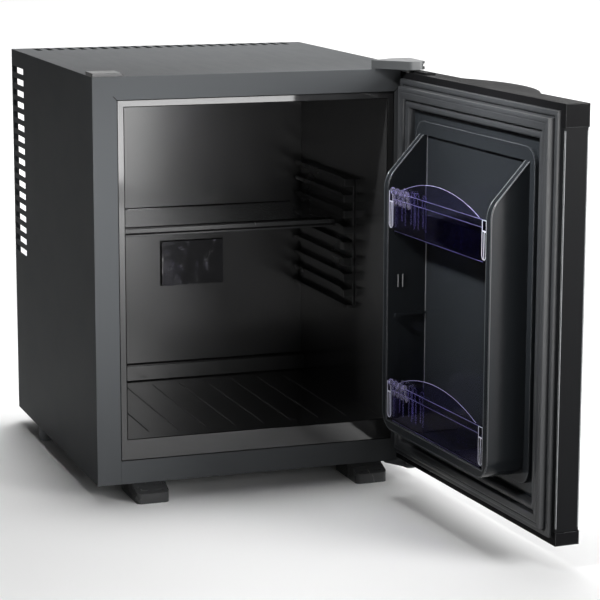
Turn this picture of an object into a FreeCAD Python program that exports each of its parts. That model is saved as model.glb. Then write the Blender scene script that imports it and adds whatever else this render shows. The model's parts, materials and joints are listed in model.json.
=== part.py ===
import FreeCAD, Part
import os
import re

import Sketcher
from FreeCAD import Placement, Rotation, Vector

# Minibar fridge with its door open: an insulated cabinet, a hinged door with two bins, a sliding half shelf
# and a silent cooling unit in the open rear compartment.
# The front faces -Y, +X is to the right and +Z is up. The origin is on the floor under the cabinet's middle.
# Door pieces are drawn closed, about the hinge axis, and then turned by the door's opening.

# Driving sizes: millimetres, degrees for the opening, plain counts.
SIZES = {
    # Cabinet shell
    "cabinet_width": 400,
    "cabinet_depth": 425,
    "cabinet_height": 482,
    "sheet_thickness": 0.8,
    "stile_width": 29,
    "top_rail_height": 27,
    "bottom_rail_height": 28,
    "rear_lip": 7,
    # Vents
    "vent_width": 7.5,
    "vent_pitch": 14.8,
    "vent_rear_margin": 5,
    "side_vent_length": 62,
    "side_vent_count": 17,
    "side_vent_drop": 25,
    "top_vent_length": 34,
    "top_vent_count": 24,
    "top_vent_margin": 29.8,
    # Liner
    "liner_wall": 2,
    "rim_width": 8,
    "sill_height": 25,
    "unit_room": 82.2,
    "ledge_height": 20,
    "ledge_depth": 14,
    "floor_rib_width": 4,
    "floor_rib_height": 1.2,
    "floor_rib_side_margin": 37,
    "floor_rib_count": 8,
    "floor_rib_margin": 24,
    "rear_insulation": 30,
    # Interior lamp
    "lens_width": 84,
    "lens_height": 58,
    "lens_depth": 6,
    "lens_wall": 1.6,
    "lens_corner": 3,
    "lens_offset": 10,
    "lens_rise": 124,
    "board_margin": 10,
    "board_thickness": 1.6,
    "led_width": 3.5,
    "led_height": 0.8,
    "led_pitch": 16,
    "led_count": 3,
    # Shelf and its racks
    "rack_plate": 2.5,
    "rack_inset": 109,
    "rack_rear_gap": 5,
    "rack_rise": 118,
    "rack_pitch": 20,
    "rack_rail_count": 9,
    "rack_rail_height": 5,
    "rack_rail_reach": 9,
    "rack_block_height": 10,
    "rack_block_length": 14,
    "rack_block_reach": 12,
    "shelf_level": 5,
    "shelf_inset": 138,
    "shelf_glass_thickness": 4,
    "shelf_side_gap": 0.6,
    "shelf_rear_gap": 2,
    "shelf_corner": 4,
    "trim_depth": 12,
    "trim_wall": 1.5,
    "trim_skirt": 4,
    # Feet
    "foot_height": 20,
    "front_foot_width": 40,
    "front_foot_inset": 62,
    "front_foot_reach": 22,
    "front_foot_tail": 50,
    "front_foot_nose": 12,
    "front_foot_corner": 6,
    "foot_slot_length": 10,
    "foot_slot_width": 3,
    "foot_slot_depth": 4,
    "foot_slot_pitch": 17,
    "foot_slot_setback": 5,
    "rear_foot_inset": 11,
    "rear_foot_setback": 110,
    "rear_foot_top_radius": 10,
    "rear_foot_sole_radius": 8,
    "foot_screw_setback": 25,
    "foot_screw_seat": 9,
    "foot_screw_head": 2.4,
    # Fasteners
    "screw_radius": 2.5,
    "screw_head_radius": 4.5,
    "screw_head_height": 1.2,
    "screw_clearance": 0.2,
    # Door hinge
    "door_gap": 12,
    "hinge_inset": 13,
    "hinge_setback": 12,
    "door_opening_angle": 93,
    "hinge_plate": 2.5,
    "hinge_nose": 9,
    "hinge_foot_depth": 18,
    "hinge_foot_margin": 2,
    "hinge_screw_pitch": 9,
    "hinge_arm_width": 32,
    "hinge_arm_depth": 45,
    "pin_radius": 4,
    "pin_head_radius": 6.5,
    "pin_depth": 12,
    "running_clearance": 0.05,
    "bush_radius": 6,
    "bush_depth": 16,
    "bush_flange_radius": 8,
    "collar_height": 7,
    "collar_rib_radius": 0.7,
    "collar_rib_count": 10,
    "cover_wall": 1.6,
    "cover_gap": 0.5,
    "cover_tail": 34,
    "cover_skirt_gap": 1,
    "blank_length": 40,
    "blank_depth": 30,
    "blank_height": 4.5,
    "blank_chamfer": 6,
    # Door shell
    "door_thickness": 28,
    "door_bottom_rise": 7,
    "door_top_drop": 2,
    "door_lip": 8,
    "top_cap_height": 25,
    "bottom_cap_height": 15,
    "cap_wall": 2.5,
    "cap_proud": 0.8,
    "cap_hinge_block": 35,
    "cap_stop_start": 20,
    "cap_stop_length": 37,
    "cap_stop_width": 12,
    "cap_stop_height": 2.2,
    "grip_width": 190,
    "grip_reach": 25,
    "grip_height": 22,
    "grip_wall": 4,
    "grip_roof": 6,
    # Door liner
    "panel_raise": 5,
    "panel_margin": 11,
    "panel_floor_gap": 6,
    "panel_ceiling_gap": 18,
    "panel_corner": 20,
    "dyke_clearance": 27.5,
    "dyke_reach": 50,
    "dyke_thickness": 11,
    "dyke_foot": 7,
    "dyke_head": 16,
    "dyke_slope": 49,
    "dyke_corner": 24,
    "dyke_bend": 30,
    "spare_bin_rise": 151,
    "bin_rib_length": 38,
    "bin_rib_height": 3,
    "bin_rib_reach": 2.5,
    "bin_peg_radius": 3.5,
    "bin_peg_reach": 5,
    # Gasket, from its outer band to its inner fin
    "gasket_band_width": 6,
    "gasket_band_height": 5,
    "gasket_groove_width": 2,
    "gasket_groove_height": 2.5,
    "gasket_bulb_width": 14,
    "gasket_fold_height": 6,
    "gasket_fin_width": 8,
    "gasket_fin_height": 9.5,
    "gasket_skin": 2.7,
    "magnet_height": 6,
    # Bins
    "upper_bin_rise": 250,
    "bin_gap": 1,
    "bin_reach": 47,
    "bin_wall": 2,
    "bin_height": 47,
    "bin_rear_height": 16,
    "bin_end_height": 34,
    "bin_band_height": 9,
    "bin_band_proud": 2,
    "bin_block_width": 11,
    "bin_block_depth": 10,
    "bin_block_foot": 3,
    "bin_arch_margin": 22,
    "bin_arch_rise": 19,
    # Cooling unit
    "unit_offset": 34,
    "tube_radius": 8,
    "tube_bend": 22,
    "tube_clearance": 0.1,
    "evaporator_thickness": 3,
    "evaporator_margin": 70,
    "evaporator_height": 200,
    "evaporator_shift": 20,
    "evaporator_rise": 187,
    "evaporator_tube_inset": 14,
    "boiler_margin": 65,
    "boiler_rise": 90,
    "jacket_radius": 26,
    "jacket_length": 200,
    "jacket_wall": 1.6,
    "boiler_tail": 18,
    "boiler_head": 40,
    "heater_radius": 5,
    "heater_offset": 14,
    "heater_tail": 12,
    "heater_length": 110,
    "condenser_drop": 57,
    "fin_size": 44,
    "fin_thickness": 0.8,
    "fin_end": 49,
    "fin_count": 14,
    "fin_start": 40,
    "coil_rise": 130,
    "coil_pitch": 45,
    "coil_run_count": 4,
    "coil_gap": 45,
    "vessel_radius": 24,
    "vessel_rise": 55,
    "vessel_dome": 12,
    "vessel_stub_top": 100,
    "saddle_width": 24,
    "saddle_half_height": 18,
    "saddle_flange_half": 34,
    "saddle_flange_thickness": 2,
    "saddle_screw_rise": 28,
    "vessel_saddle_inset": 50,
    "boiler_saddle_spread": 90,
    # Controls
    "control_width": 88,
    "control_height": 56,
    "control_wall": 2,
    "control_side_margin": 12,
    "control_gap": 19.2,
    "control_rear_margin": 16,
    "inlet_width": 27,
    "inlet_height": 20,
    "inlet_depth": 18,
    "inlet_flange": 4,
    "inlet_flange_thickness": 2,
    "inlet_margin": 4,
    "inlet_wall": 2,
    "inlet_pin_radius": 1.6,
    "inlet_pin_pitch": 7,
    "knob_radius": 13,
    "knob_margin": 6,
    "knob_height": 12,
    "knob_shaft_radius": 3,
    "knob_shaft_length": 8,
    "knob_notch_radius": 2,
    "knob_notch_count": 12,
    # Fits
    "seat_clearance": 0.3,
    "overrun": 5,
}

# Places that follow from the sizes.
PLACES = {
    "side": "cabinet_width / 2",
    "front": "-cabinet_depth / 2",
    "rear": "cabinet_depth / 2",
    "base": "foot_height",
    "top": "foot_height + cabinet_height",
    "rim_front": "front + sheet_thickness",
    "rim_back": "rim_front + liner_wall",
    "cavity_side": "side - stile_width - rim_width",
    "cavity_floor": "base + bottom_rail_height + sill_height",
    "cavity_ceiling": "top - top_rail_height - rim_width",
    "box_rear": "rear - unit_room - sheet_thickness",
    "cavity_back": "box_rear - rear_insulation - liner_wall",
    "top_vent_pitch": "(cabinet_width - 2 * top_vent_margin) / (top_vent_count - 1)",
    "floor_rib_pitch": "2 * (cavity_side - floor_rib_side_margin) / (floor_rib_count - 1)",
    "front_foot_offset": "side - front_foot_inset",
    "plate_rear": "box_rear + sheet_thickness",
    "lens_bottom": "cavity_floor + lens_rise",
    "rack_front": "front + rack_inset",
    "rack_bottom": "cavity_floor + rack_rise",
    "shelf_seat": "rack_bottom + rack_rail_height + shelf_level * rack_pitch",
    "shelf_bottom": "shelf_seat + seat_clearance",
    "shelf_top": "shelf_bottom + shelf_glass_thickness",
    "shelf_front": "front + shelf_inset",
    "shelf_side": "cavity_side - rack_plate - shelf_side_gap",
    "trim_side": "cavity_side - rack_plate - rack_block_reach - shelf_side_gap",
    "screw_hole": "screw_radius + screw_clearance",
    "hinge_x": "side - hinge_inset",
    "hinge_y": "front - door_gap - hinge_setback",
    "collar_top": "door_top + collar_height",
    "bracket_bottom": "collar_top + seat_clearance",
    "bracket_top": "bracket_bottom + hinge_plate",
    "cover_ceiling": "bracket_top + screw_head_height + seat_clearance",
    "cover_top": "cover_ceiling + cover_wall",
    "cover_reach": "hinge_nose + cover_gap + cover_wall",
    "hinge_end": "hinge_inset",
    "free_end": "hinge_inset - cabinet_width",
    "door_middle": "hinge_inset - cabinet_width / 2",
    "door_inner": "hinge_setback",
    "door_outer": "hinge_setback - door_thickness",
    "door_bottom": "base + door_bottom_rise",
    "door_top": "top - door_top_drop",
    "dyke_side": "cavity_side - dyke_clearance",
    "panel_side": "dyke_side + panel_margin",
    "panel_bottom": "cavity_floor + panel_floor_gap",
    "panel_top": "cavity_ceiling - panel_ceiling_gap",
    "dyke_bottom": "panel_bottom + dyke_foot",
    "dyke_top": "panel_top - dyke_head",
    "recess_side": "dyke_side - dyke_thickness",
    "recess_bottom": "dyke_bottom + dyke_thickness",
    "recess_corner": "bin_gap",
    "bulb_inset": "door_lip + gasket_band_width + gasket_groove_width",
    "bulb_height": "door_gap - seat_clearance",
    "fold_inset": "bulb_inset + gasket_bulb_width",
    "fin_inset": "fold_inset + gasket_groove_width",
    "gasket_end": "fin_inset + gasket_fin_width",
    "bin_side": "recess_side - bin_gap",
    "bin_arch_width": "2 * (bin_side - bin_arch_margin)",
    "bin_back": "door_inner + bin_gap",
    "bin_front": "door_inner + bin_reach",
    "upper_bin_seat": "cavity_floor + upper_bin_rise",
    "spare_bin_seat": "cavity_floor + spare_bin_rise",
    "unit_y": "plate_rear + unit_offset",
    "boiler_offset": "side - boiler_margin",
    "jacket_bottom": "base + boiler_rise",
    "jacket_top": "jacket_bottom + jacket_length",
    "boiler_top": "jacket_top + boiler_head",
    "heater_x": "boiler_offset + heater_offset",
    "evaporator_width": "cabinet_width - 2 * evaporator_margin",
    "evaporator_left": "-evaporator_width / 2 - evaporator_shift",
    "evaporator_rear": "cavity_back + liner_wall + evaporator_thickness",
    "evaporator_bottom": "cavity_floor + evaporator_rise",
    "condenser_end": "evaporator_left + evaporator_tube_inset",
    "condenser_z": "top - condenser_drop",
    "fin_pitch": "(boiler_offset - fin_end - condenser_end - fin_start) / (fin_count - 1)",
    "coil_left": "condenser_end",
    "coil_right": "boiler_offset - jacket_radius - coil_gap",
    "coil_z": "base + coil_rise",
    "coil_top": "coil_z + (coil_run_count - 1) * coil_pitch",
    "vessel_left": "coil_left - vessel_radius",
    "vessel_z": "base + vessel_rise",
    "stub_top": "base + vessel_stub_top",
    "control_right": "side - sheet_thickness - control_side_margin",
    "control_left": "control_right - control_width",
    "vessel_length": "control_left - control_gap - vessel_left",
    "vessel_saddle_spread": "vessel_length - 2 * vessel_saddle_inset",
    "control_bottom": "base + sheet_thickness",
    "control_top": "control_bottom + control_height",
    "control_rear": "rear - control_rear_margin",
    "control_z": "control_bottom + control_height / 2",
    "knob_x": "control_left + knob_radius + knob_margin",
    "inlet_x": "control_right - inlet_width / 2 - inlet_flange - inlet_margin",
}

doc = FreeCAD.newDocument("minibar_fridge")
sheet = doc.addObject("Spreadsheet::Sheet", "Sizes")
for row, (alias, amount) in enumerate(SIZES.items(), 1):
    sheet.set(f"A{row}", alias)
    sheet.set(f"B{row}", str(amount))
    sheet.setAlias(f"B{row}", alias)
doc.recompute()


# Formulas and the objects bound to them
def formula(text):
    """A sum in the names above, written out in cells of the sheet."""

    def spell(match):
        word = match.group(0)
        if word in PLACES:
            return f"({formula(PLACES[word])})"
        return f"Sizes.{word}" if word in SIZES else word

    return re.sub(r"[a-z_][a-z0-9_]*", spell, text)


def number(text):
    return float(sheet.evalExpression(formula(text)))


def bind(piece, name, text):
    piece.setExpression(name, formula(text))


def box(name, x, y, z):
    """A block between two formulas along each axis."""
    block = doc.addObject("Part::Box", name)
    for edge, axis, (low, high) in (("Length", "x", x), ("Width", "y", y), ("Height", "z", z)):
        bind(block, edge, f"({high}) - ({low})")
        bind(block, f"Placement.Base.{axis}", low)
    return block


AXES = {"x": Vector(1, 0, 0), "y": Vector(0, 1, 0), "z": Vector(0, 0, 1)}
TURNS = {axis: Rotation(AXES["z"], AXES[axis]) for axis in AXES}
QUARTER = 90
# How closely an edge must lie at its stated place
NEAR = 1e-4


def rod(name, along, radius, x, y, z):
    """A cylinder along one axis, whose place on that axis is a span of two formulas."""
    bar = doc.addObject("Part::Cylinder", name)
    bar.Placement = Placement(Vector(), TURNS[along])
    bind(bar, "Radius", radius)
    for axis, place in (("x", x), ("y", y), ("z", z)):
        low = place
        if axis == along:
            low, high = place
            bind(bar, "Height", f"({high}) - ({low})")
        bind(bar, f"Placement.Base.{axis}", low)
    return bar


def fuse(name, *pieces):
    joined = doc.addObject("Part::MultiFuse", name)
    joined.Shapes = list(pieces)
    joined.Refine = True
    return joined


def cut(name, base, *tools):
    left = doc.addObject("Part::Cut", name)
    left.Base = base
    left.Tool = tools[0] if len(tools) == 1 else fuse(f"{name}_tools", *tools)
    left.Refine = True
    return left


def shared(name, first, second):
    both = doc.addObject("Part::Common", name)
    both.Base = first
    both.Tool = second
    both.Refine = True
    return both


def group(name, pieces):
    """Separate solids that share one node."""
    bundle = doc.addObject("Part::Compound", name)
    bundle.Links = pieces
    return bundle


def edges_at(shape, along, *corners):
    """Numbers of the straight edges along an axis that stand at any of the given places."""
    others = [axis for axis in "xyz" if axis != along]
    places = [[number(place) for place in corner] for corner in corners]
    found = []
    for index, edge in enumerate(shape.Edges, 1):
        ends = [vertex.Point for vertex in edge.Vertexes]
        if len(ends) != 2:
            continue
        spots = [[getattr(end, axis) for axis in others] for end in ends]
        for place in places:
            gaps = [abs(a - b) for spot in spots for a, b in zip(spot, place)]
            if max(gaps) < NEAR:
                found.append(index)
    if len(found) < len(corners):
        raise RuntimeError(f"edges to round are missing: {len(found)} of {len(corners)}")
    return found


def rounded(name, base, radius, along, *corners):
    """A piece with chosen straight edges rounded."""
    doc.recompute()
    piece = doc.addObject("Part::Fillet", name)
    piece.Base = base
    amount = number(radius)
    piece.Edges = [(index, amount, amount) for index in edges_at(base.Shape, along, *corners)]
    return piece


# Sketches and features of bodies
def new_body(name):
    return doc.addObject("PartDesign::Body", name)


def sketch(body, name, role, offset):
    drawing = body.newObject("Sketcher::SketchObject", name)
    plane = next(item for item in body.Origin.OriginFeatures if item.Role == role)
    drawing.AttachmentSupport = [(plane, "")]
    drawing.MapMode = "FlatFace"
    bind(drawing, "AttachmentOffset.Base.z", offset)
    return drawing


def outline(drawing, points):
    """A closed outline whose corners are pairs of formulas."""
    first = drawing.GeometryCount
    corners = [Vector(number(x), number(y), 0) for x, y in points]
    for index, corner in enumerate(corners):
        following = corners[(index + 1) % len(corners)]
        drawing.addGeometry(Part.LineSegment(corner, following), False)
    for index, (x, y) in enumerate(points):
        line = first + index
        before = line - 1 if index else first + len(points) - 1
        drawing.addConstraint(Sketcher.Constraint("Coincident", before, 2, line, 1))
        pin(drawing, line, 1, x, y)


def pin(drawing, line, end, x, y):
    """Holds one point of a sketch at two formulas."""
    for kind, axis, text in (("DistanceX", "x", x), ("DistanceY", "y", y)):
        made = drawing.addConstraint(Sketcher.Constraint(kind, line, end, number(text)))
        drawing.renameConstraint(made, f"{axis}_{line}")
        bind(drawing, f"Constraints.{axis}_{line}", text)


def circle(drawing, x, y, radius):
    shape = Part.Circle(Vector(number(x), number(y), 0), Vector(0, 0, 1), number(radius))
    line = drawing.addGeometry(shape, False)
    pin(drawing, line, 3, x, y)
    made = drawing.addConstraint(Sketcher.Constraint("Radius", line, number(radius)))
    drawing.renameConstraint(made, f"radius_{line}")
    bind(drawing, f"Constraints.radius_{line}", radius)


def pad(body, drawing, length):
    feature = body.newObject("PartDesign::Pad", f"{drawing.Name}_pad")
    feature.Profile = drawing
    bind(feature, "Length", length)
    return feature


def pocket(body, drawing, length=None, reverse=False, both_ways=False):
    """Takes material away, through everything if no length is given, and makes sure that some went."""
    doc.recompute()
    before = body.Shape.Volume
    feature = body.newObject("PartDesign::Pocket", f"{drawing.Name}_pocket")
    feature.Profile = drawing
    feature.Reversed = reverse
    if both_ways:
        feature.SideType = "Symmetric"
    if length is None:
        feature.Type = "ThroughAll"
    else:
        bind(feature, "Length", length)
    doc.recompute()
    if not body.Shape.Volume < before:
        raise RuntimeError(f"{feature.Name} takes nothing away")
    return feature


def row_of(body, feature, drawing, direction, pitch, count):
    """Repeats a feature along one axis of its sketch."""
    repeat = body.newObject("PartDesign::LinearPattern", f"{feature.Name}_row")
    repeat.Originals = [feature]
    repeat.Direction = (drawing, [direction])
    bind(repeat, "Length", f"({count} - 1) * {pitch}")
    bind(repeat, "Occurrences", count)
    body.Tip = repeat
    return repeat


def ring_of(body, feature, drawing, count):
    """Repeats a feature round the origin of a sketch."""
    doc.recompute()
    repeat = body.newObject("PartDesign::PolarPattern", f"{feature.Name}_ring")
    repeat.Originals = [feature]
    repeat.Axis = (drawing, ["N_Axis"])
    bind(repeat, "Occurrences", count)
    body.Tip = repeat
    return repeat


def soften(body, radius, along, *corners):
    """Rounds chosen straight edges of a body."""
    doc.recompute()
    tip = body.Tip
    feature = body.newObject("PartDesign::Fillet", f"{tip.Name}_round")
    feature.Base = (tip, [f"Edge{index}" for index in edges_at(tip.Shape, along, *corners)])
    bind(feature, "Radius", radius)
    return feature


def tube(name, points, bend, radius):
    """A tube of straight runs along the axes, joined by square bends of one radius."""
    runs = []
    for start, end in zip(points, points[1:]):
        along = next(axis for axis, first, last in zip("xyz", start, end) if first != last)
        index = "xyz".index(along)
        runs.append((along, 1 if number(end[index]) > number(start[index]) else -1))
    pieces = []
    for step, (along, sign) in enumerate(runs):
        index = "xyz".index(along)
        places = list(points[step])
        start = f"({points[step][index]}) + {sign} * ({bend if step else 0})"
        end = f"({points[step + 1][index]}) - {sign} * ({bend if step < len(runs) - 1 else 0})"
        places[index] = (start, end) if sign > 0 else (end, start)
        pieces.append(rod(f"{name}_run_{step}", along, radius, *places))
    for step, ((first, sign), (second, turned)) in enumerate(zip(runs, runs[1:])):
        into = AXES[first] * sign
        out = AXES[second] * turned
        elbow = doc.addObject("Part::Torus", f"{name}_bend_{step}")
        elbow.Angle3 = QUARTER
        elbow.Placement = Placement(Vector(), Rotation(out * -1, into, into.cross(out), "ZXY"))
        bind(elbow, "Radius1", bend)
        bind(elbow, "Radius2", radius)
        for axis, place in zip("xyz", points[step + 1]):
            shift = {first: -sign, second: turned}.get(axis, 0)
            bind(elbow, f"Placement.Base.{axis}", f"({place}) + {shift} * {bend}")
        pieces.append(elbow)
    return fuse(name, *pieces)


def hang(piece):
    """Turns a door piece about the hinge axis by the door's opening."""
    bind(piece, "Placement.Base.x", "hinge_x")
    bind(piece, "Placement.Base.y", "hinge_y")
    bind(piece, "Placement.Rotation.Angle", "door_opening_angle")
    return piece


nodes = []


def keep(*pieces):
    nodes.extend(pieces)


def about(middle, half):
    """The span of a half width on both sides of a middle."""
    return f"{middle} - ({half})", f"{middle} + ({half})"


BOTH = (("left", -1), ("right", 1))

FOOT_SPOTS = [
    (f"{sign} * front_foot_offset", "front + foot_screw_setback") for _, sign in BOTH
] + [(f"{sign} * (side - rear_foot_inset)", "rear - rear_foot_setback") for _, sign in BOTH]
LOWER_HINGE_SPOTS = [
    (f"hinge_x - hinge_nose + {step} * hinge_screw_pitch", "front + hinge_arm_depth - hinge_foot_depth")
    for step in (0, 1)
]
UPPER_HINGE_SPOTS = [
    (f"hinge_x + {step} * hinge_screw_pitch / 2", "front + (hinge_foot_margin + hinge_foot_depth) / 2")
    for step in (-1, 1)
]


def make_outer_wrap():
    """One folded sheet: two sides, the top, the stiles, the top rail and a narrow rear lip, with its vents."""
    wrap = new_body("outer_wrap")
    shell = sketch(wrap, "wrap_shell", "XZ_Plane", "-(rear)")
    outline(shell, [
        ("-(side)", "base"),
        ("-(side)", "top"),
        ("side", "top"),
        ("side", "base"),
        ("side - sheet_thickness", "base"),
        ("side - sheet_thickness", "top - sheet_thickness"),
        ("-(side - sheet_thickness)", "top - sheet_thickness"),
        ("-(side - sheet_thickness)", "base"),
    ])
    pad(wrap, shell, "cabinet_depth")
    frame = sketch(wrap, "wrap_frame", "XZ_Plane", "-(rim_front)")
    outline(frame, [
        ("-(side)", "base"),
        ("-(side)", "top"),
        ("side", "top"),
        ("side", "base"),
        ("side - stile_width", "base"),
        ("side - stile_width", "top - top_rail_height"),
        ("-(side - stile_width)", "top - top_rail_height"),
        ("-(side - stile_width)", "base"),
    ])
    pad(wrap, frame, "sheet_thickness")
    lip = sketch(wrap, "wrap_rear_lip", "XZ_Plane", "-(rear)")
    outline(lip, [
        ("-(side)", "base + sheet_thickness"),
        ("-(side)", "top"),
        ("side", "top"),
        ("side", "base + sheet_thickness"),
        ("side - rear_lip", "base + sheet_thickness"),
        ("side - rear_lip", "top - rear_lip"),
        ("-(side - rear_lip)", "top - rear_lip"),
        ("-(side - rear_lip)", "base + sheet_thickness"),
    ])
    pad(wrap, lip, "sheet_thickness")
    first = "top - side_vent_drop"
    vents = sketch(wrap, "side_vent", "YZ_Plane", "0")
    outline(vents, [
        ("rear - vent_rear_margin - side_vent_length", f"{first} - vent_width / 2"),
        ("rear - vent_rear_margin", f"{first} - vent_width / 2"),
        ("rear - vent_rear_margin", f"{first} + vent_width / 2"),
        ("rear - vent_rear_margin - side_vent_length", f"{first} + vent_width / 2"),
    ])
    row = row_of(wrap, pocket(wrap, vents, both_ways=True), vents, "V_Axis", "vent_pitch", "side_vent_count")
    row.Reversed = True
    start = "-(top_vent_count - 1) * top_vent_pitch / 2"
    roof = sketch(wrap, "top_vent", "XY_Plane", "top")
    outline(roof, [
        (f"{start} - vent_width / 2", "rear - vent_rear_margin - top_vent_length"),
        (f"{start} + vent_width / 2", "rear - vent_rear_margin - top_vent_length"),
        (f"{start} + vent_width / 2", "rear - vent_rear_margin"),
        (f"{start} - vent_width / 2", "rear - vent_rear_margin"),
    ])
    slot = pocket(wrap, roof, "sheet_thickness * 2")
    row_of(wrap, slot, roof, "H_Axis", "top_vent_pitch", "top_vent_count")
    holes = sketch(wrap, "hinge_hole", "XY_Plane", "top")
    for x, y in UPPER_HINGE_SPOTS:
        circle(holes, x, y, "screw_hole")
    wrap.Tip = pocket(wrap, holes, "sheet_thickness * 2")
    keep(wrap)


def make_base_plate():
    """Bottom sheet and the bottom rail between the stiles."""
    plate = new_body("base_plate")
    floor = sketch(plate, "base_floor", "XY_Plane", "base")
    inside = "side - sheet_thickness"
    outline(floor, [
        (f"-({inside})", "rim_front"),
        (inside, "rim_front"),
        (inside, "rear"),
        (f"-({inside})", "rear"),
    ])
    pad(plate, floor, "sheet_thickness")
    rail = sketch(plate, "base_rail", "XZ_Plane", "-(rim_front)")
    between = "side - stile_width"
    outline(rail, [
        (f"-({between})", "base"),
        (between, "base"),
        (between, "base + bottom_rail_height"),
        (f"-({between})", "base + bottom_rail_height"),
    ])
    pad(plate, rail, "sheet_thickness")
    holes = sketch(plate, "base_holes", "XY_Plane", "base")
    for x, y in FOOT_SPOTS + LOWER_HINGE_SPOTS:
        circle(holes, x, y, "screw_hole")
    pocket(plate, holes, "sheet_thickness", reverse=True)
    keep(plate)


def ledge_hollow(name):
    """The space behind the liner's rear ledge."""
    return box(
        name,
        about("0", "cavity_side"),
        ("cavity_back - ledge_depth + liner_wall", "cavity_back + liner_wall"),
        ("cavity_floor - liner_wall", "cavity_floor + ledge_height - liner_wall"),
    )


def liner_tub(name):
    """The liner's outside: the cavity grown by one wall, without the hollow behind the ledge."""
    block = box(
        f"{name}_block",
        about("0", "cavity_side + liner_wall"),
        ("rim_front", "cavity_back + liner_wall"),
        ("cavity_floor - liner_wall", "cavity_ceiling + liner_wall"),
    )
    return cut(name, block, ledge_hollow(f"{name}_hollow"))


def make_cabinet_liner():
    """Moulded tub with its rim, sill, rear ledge and floor ribs."""
    inside = "side - sheet_thickness"
    rim = box(
        "liner_rim",
        about("0", inside),
        ("rim_front", "rim_back"),
        ("base + sheet_thickness", "top - sheet_thickness"),
    )
    cavity = box(
        "liner_cavity",
        about("0", "cavity_side"),
        ("rim_front - overrun", "cavity_back"),
        ("cavity_floor", "cavity_ceiling"),
    )
    ledge = box(
        "liner_ledge",
        about("0", "cavity_side"),
        ("cavity_back - ledge_depth", "cavity_back"),
        ("cavity_floor", "cavity_floor + ledge_height"),
    )
    blank = fuse("liner_blank", rim, liner_tub("liner_tub"))
    shell = cut("liner_shell", blank, cut("liner_void", cavity, ledge))
    ribs = [
        box(
            f"floor_rib_{step}",
            about(f"({step} - (floor_rib_count - 1) / 2) * floor_rib_pitch", "floor_rib_width / 2"),
            ("rim_back + floor_rib_margin", "cavity_back - ledge_depth - floor_rib_margin"),
            ("cavity_floor", "cavity_floor + floor_rib_height"),
        )
        for step in range(int(SIZES["floor_rib_count"]))
    ]
    keep(fuse("cabinet_liner", shell, *ribs))


def make_back_plate():
    inside = "side - sheet_thickness"
    blank = box(
        "back_blank",
        about("0", inside),
        ("box_rear", "plate_rear"),
        ("base + sheet_thickness", "top - sheet_thickness"),
    )
    holes = evaporator_tube_rods("back_hole", "tube_radius + tube_clearance", "overrun")
    through = ("box_rear - overrun", "plate_rear + overrun")
    holes += saddle_screw_rods("back_screw_hole", "screw_hole", through)
    keep(cut("back_plate", blank, *holes))


def make_cabinet_foam():
    """Insulation between the sheet and the liner."""
    inside = "side - sheet_thickness"
    blank = box(
        "foam_blank",
        about("0", inside),
        ("rim_back", "box_rear"),
        ("base + sheet_thickness", "top - sheet_thickness"),
    )
    holes = evaporator_tube_rods("foam_hole", "tube_radius + tube_clearance", "overrun")
    keep(cut("cabinet_foam", blank, liner_tub("foam_tub"), evaporator_block("foam_evaporator"), *holes))


def make_lamp():
    """Lens and board on the cavity's back wall."""
    across = about("lens_offset", "lens_width / 2")
    upright = ("lens_bottom", "lens_bottom + lens_height")
    blank = box("lens_blank", across, ("cavity_back - lens_depth", "cavity_back"), upright)
    hollow = box(
        "lens_hollow",
        about("lens_offset", "lens_width / 2 - lens_wall"),
        ("cavity_back - lens_depth + lens_wall", "cavity_back + overrun"),
        ("lens_bottom + lens_wall", "lens_bottom + lens_height - lens_wall"),
    )
    lens = rounded(
        "lens_rounded",
        blank,
        "lens_corner",
        "y",
        *[(x, z) for x in across for z in upright],
    )
    keep(cut("lamp_lens", lens, hollow))
    board = box(
        "board_blank",
        about("lens_offset", "lens_width / 2 - board_margin"),
        ("cavity_back - board_thickness", "cavity_back"),
        ("lens_bottom + board_margin", "lens_bottom + lens_height - board_margin"),
    )
    chips = [
        box(
            f"led_{step}",
            about(f"lens_offset + ({step} - (led_count - 1) / 2) * led_pitch", "led_width / 2"),
            ("cavity_back - board_thickness - led_height", "cavity_back - board_thickness"),
            about("lens_bottom + lens_height / 2", "led_width / 2"),
        )
        for step in range(int(SIZES["led_count"]))
    ]
    keep(fuse("lamp_board", board, *chips))


def from_wall(sign, near, far):
    """A span across the cavity, given as two distances from a side wall."""
    if sign < 0:
        return f"-(cavity_side) + {near}", f"-(cavity_side) + {far}"
    return f"cavity_side - ({far})", f"cavity_side - ({near})"


def make_shelf_racks():
    """Stepped rails on both side walls, each with a block under its front end."""
    length = ("rack_front", "cavity_back - rack_rear_gap")
    for word, sign in BOTH:
        top_rail = "rack_bottom + (rack_rail_count - 1) * rack_pitch + rack_rail_height"
        against = from_wall(sign, "0", "rack_plate")
        pieces = [box(f"{word}_rack_plate", against, length, ("rack_bottom", top_rail))]
        for step in range(int(SIZES["rack_rail_count"])):
            level = f"rack_bottom + {step} * rack_pitch"
            pieces.append(box(
                f"{word}_rail_{step}",
                from_wall(sign, "0", "rack_plate + rack_rail_reach"),
                length,
                (level, f"{level} + rack_rail_height"),
            ))
            if step:
                pieces.append(box(
                    f"{word}_block_{step}",
                    from_wall(sign, "0", "rack_plate + rack_block_reach"),
                    ("rack_front", "rack_front + rack_block_length"),
                    (f"{level} + rack_rail_height - rack_block_height", f"{level} + rack_rail_height"),
                ))
        keep(fuse(f"{word}_shelf_rack", *pieces))


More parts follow.
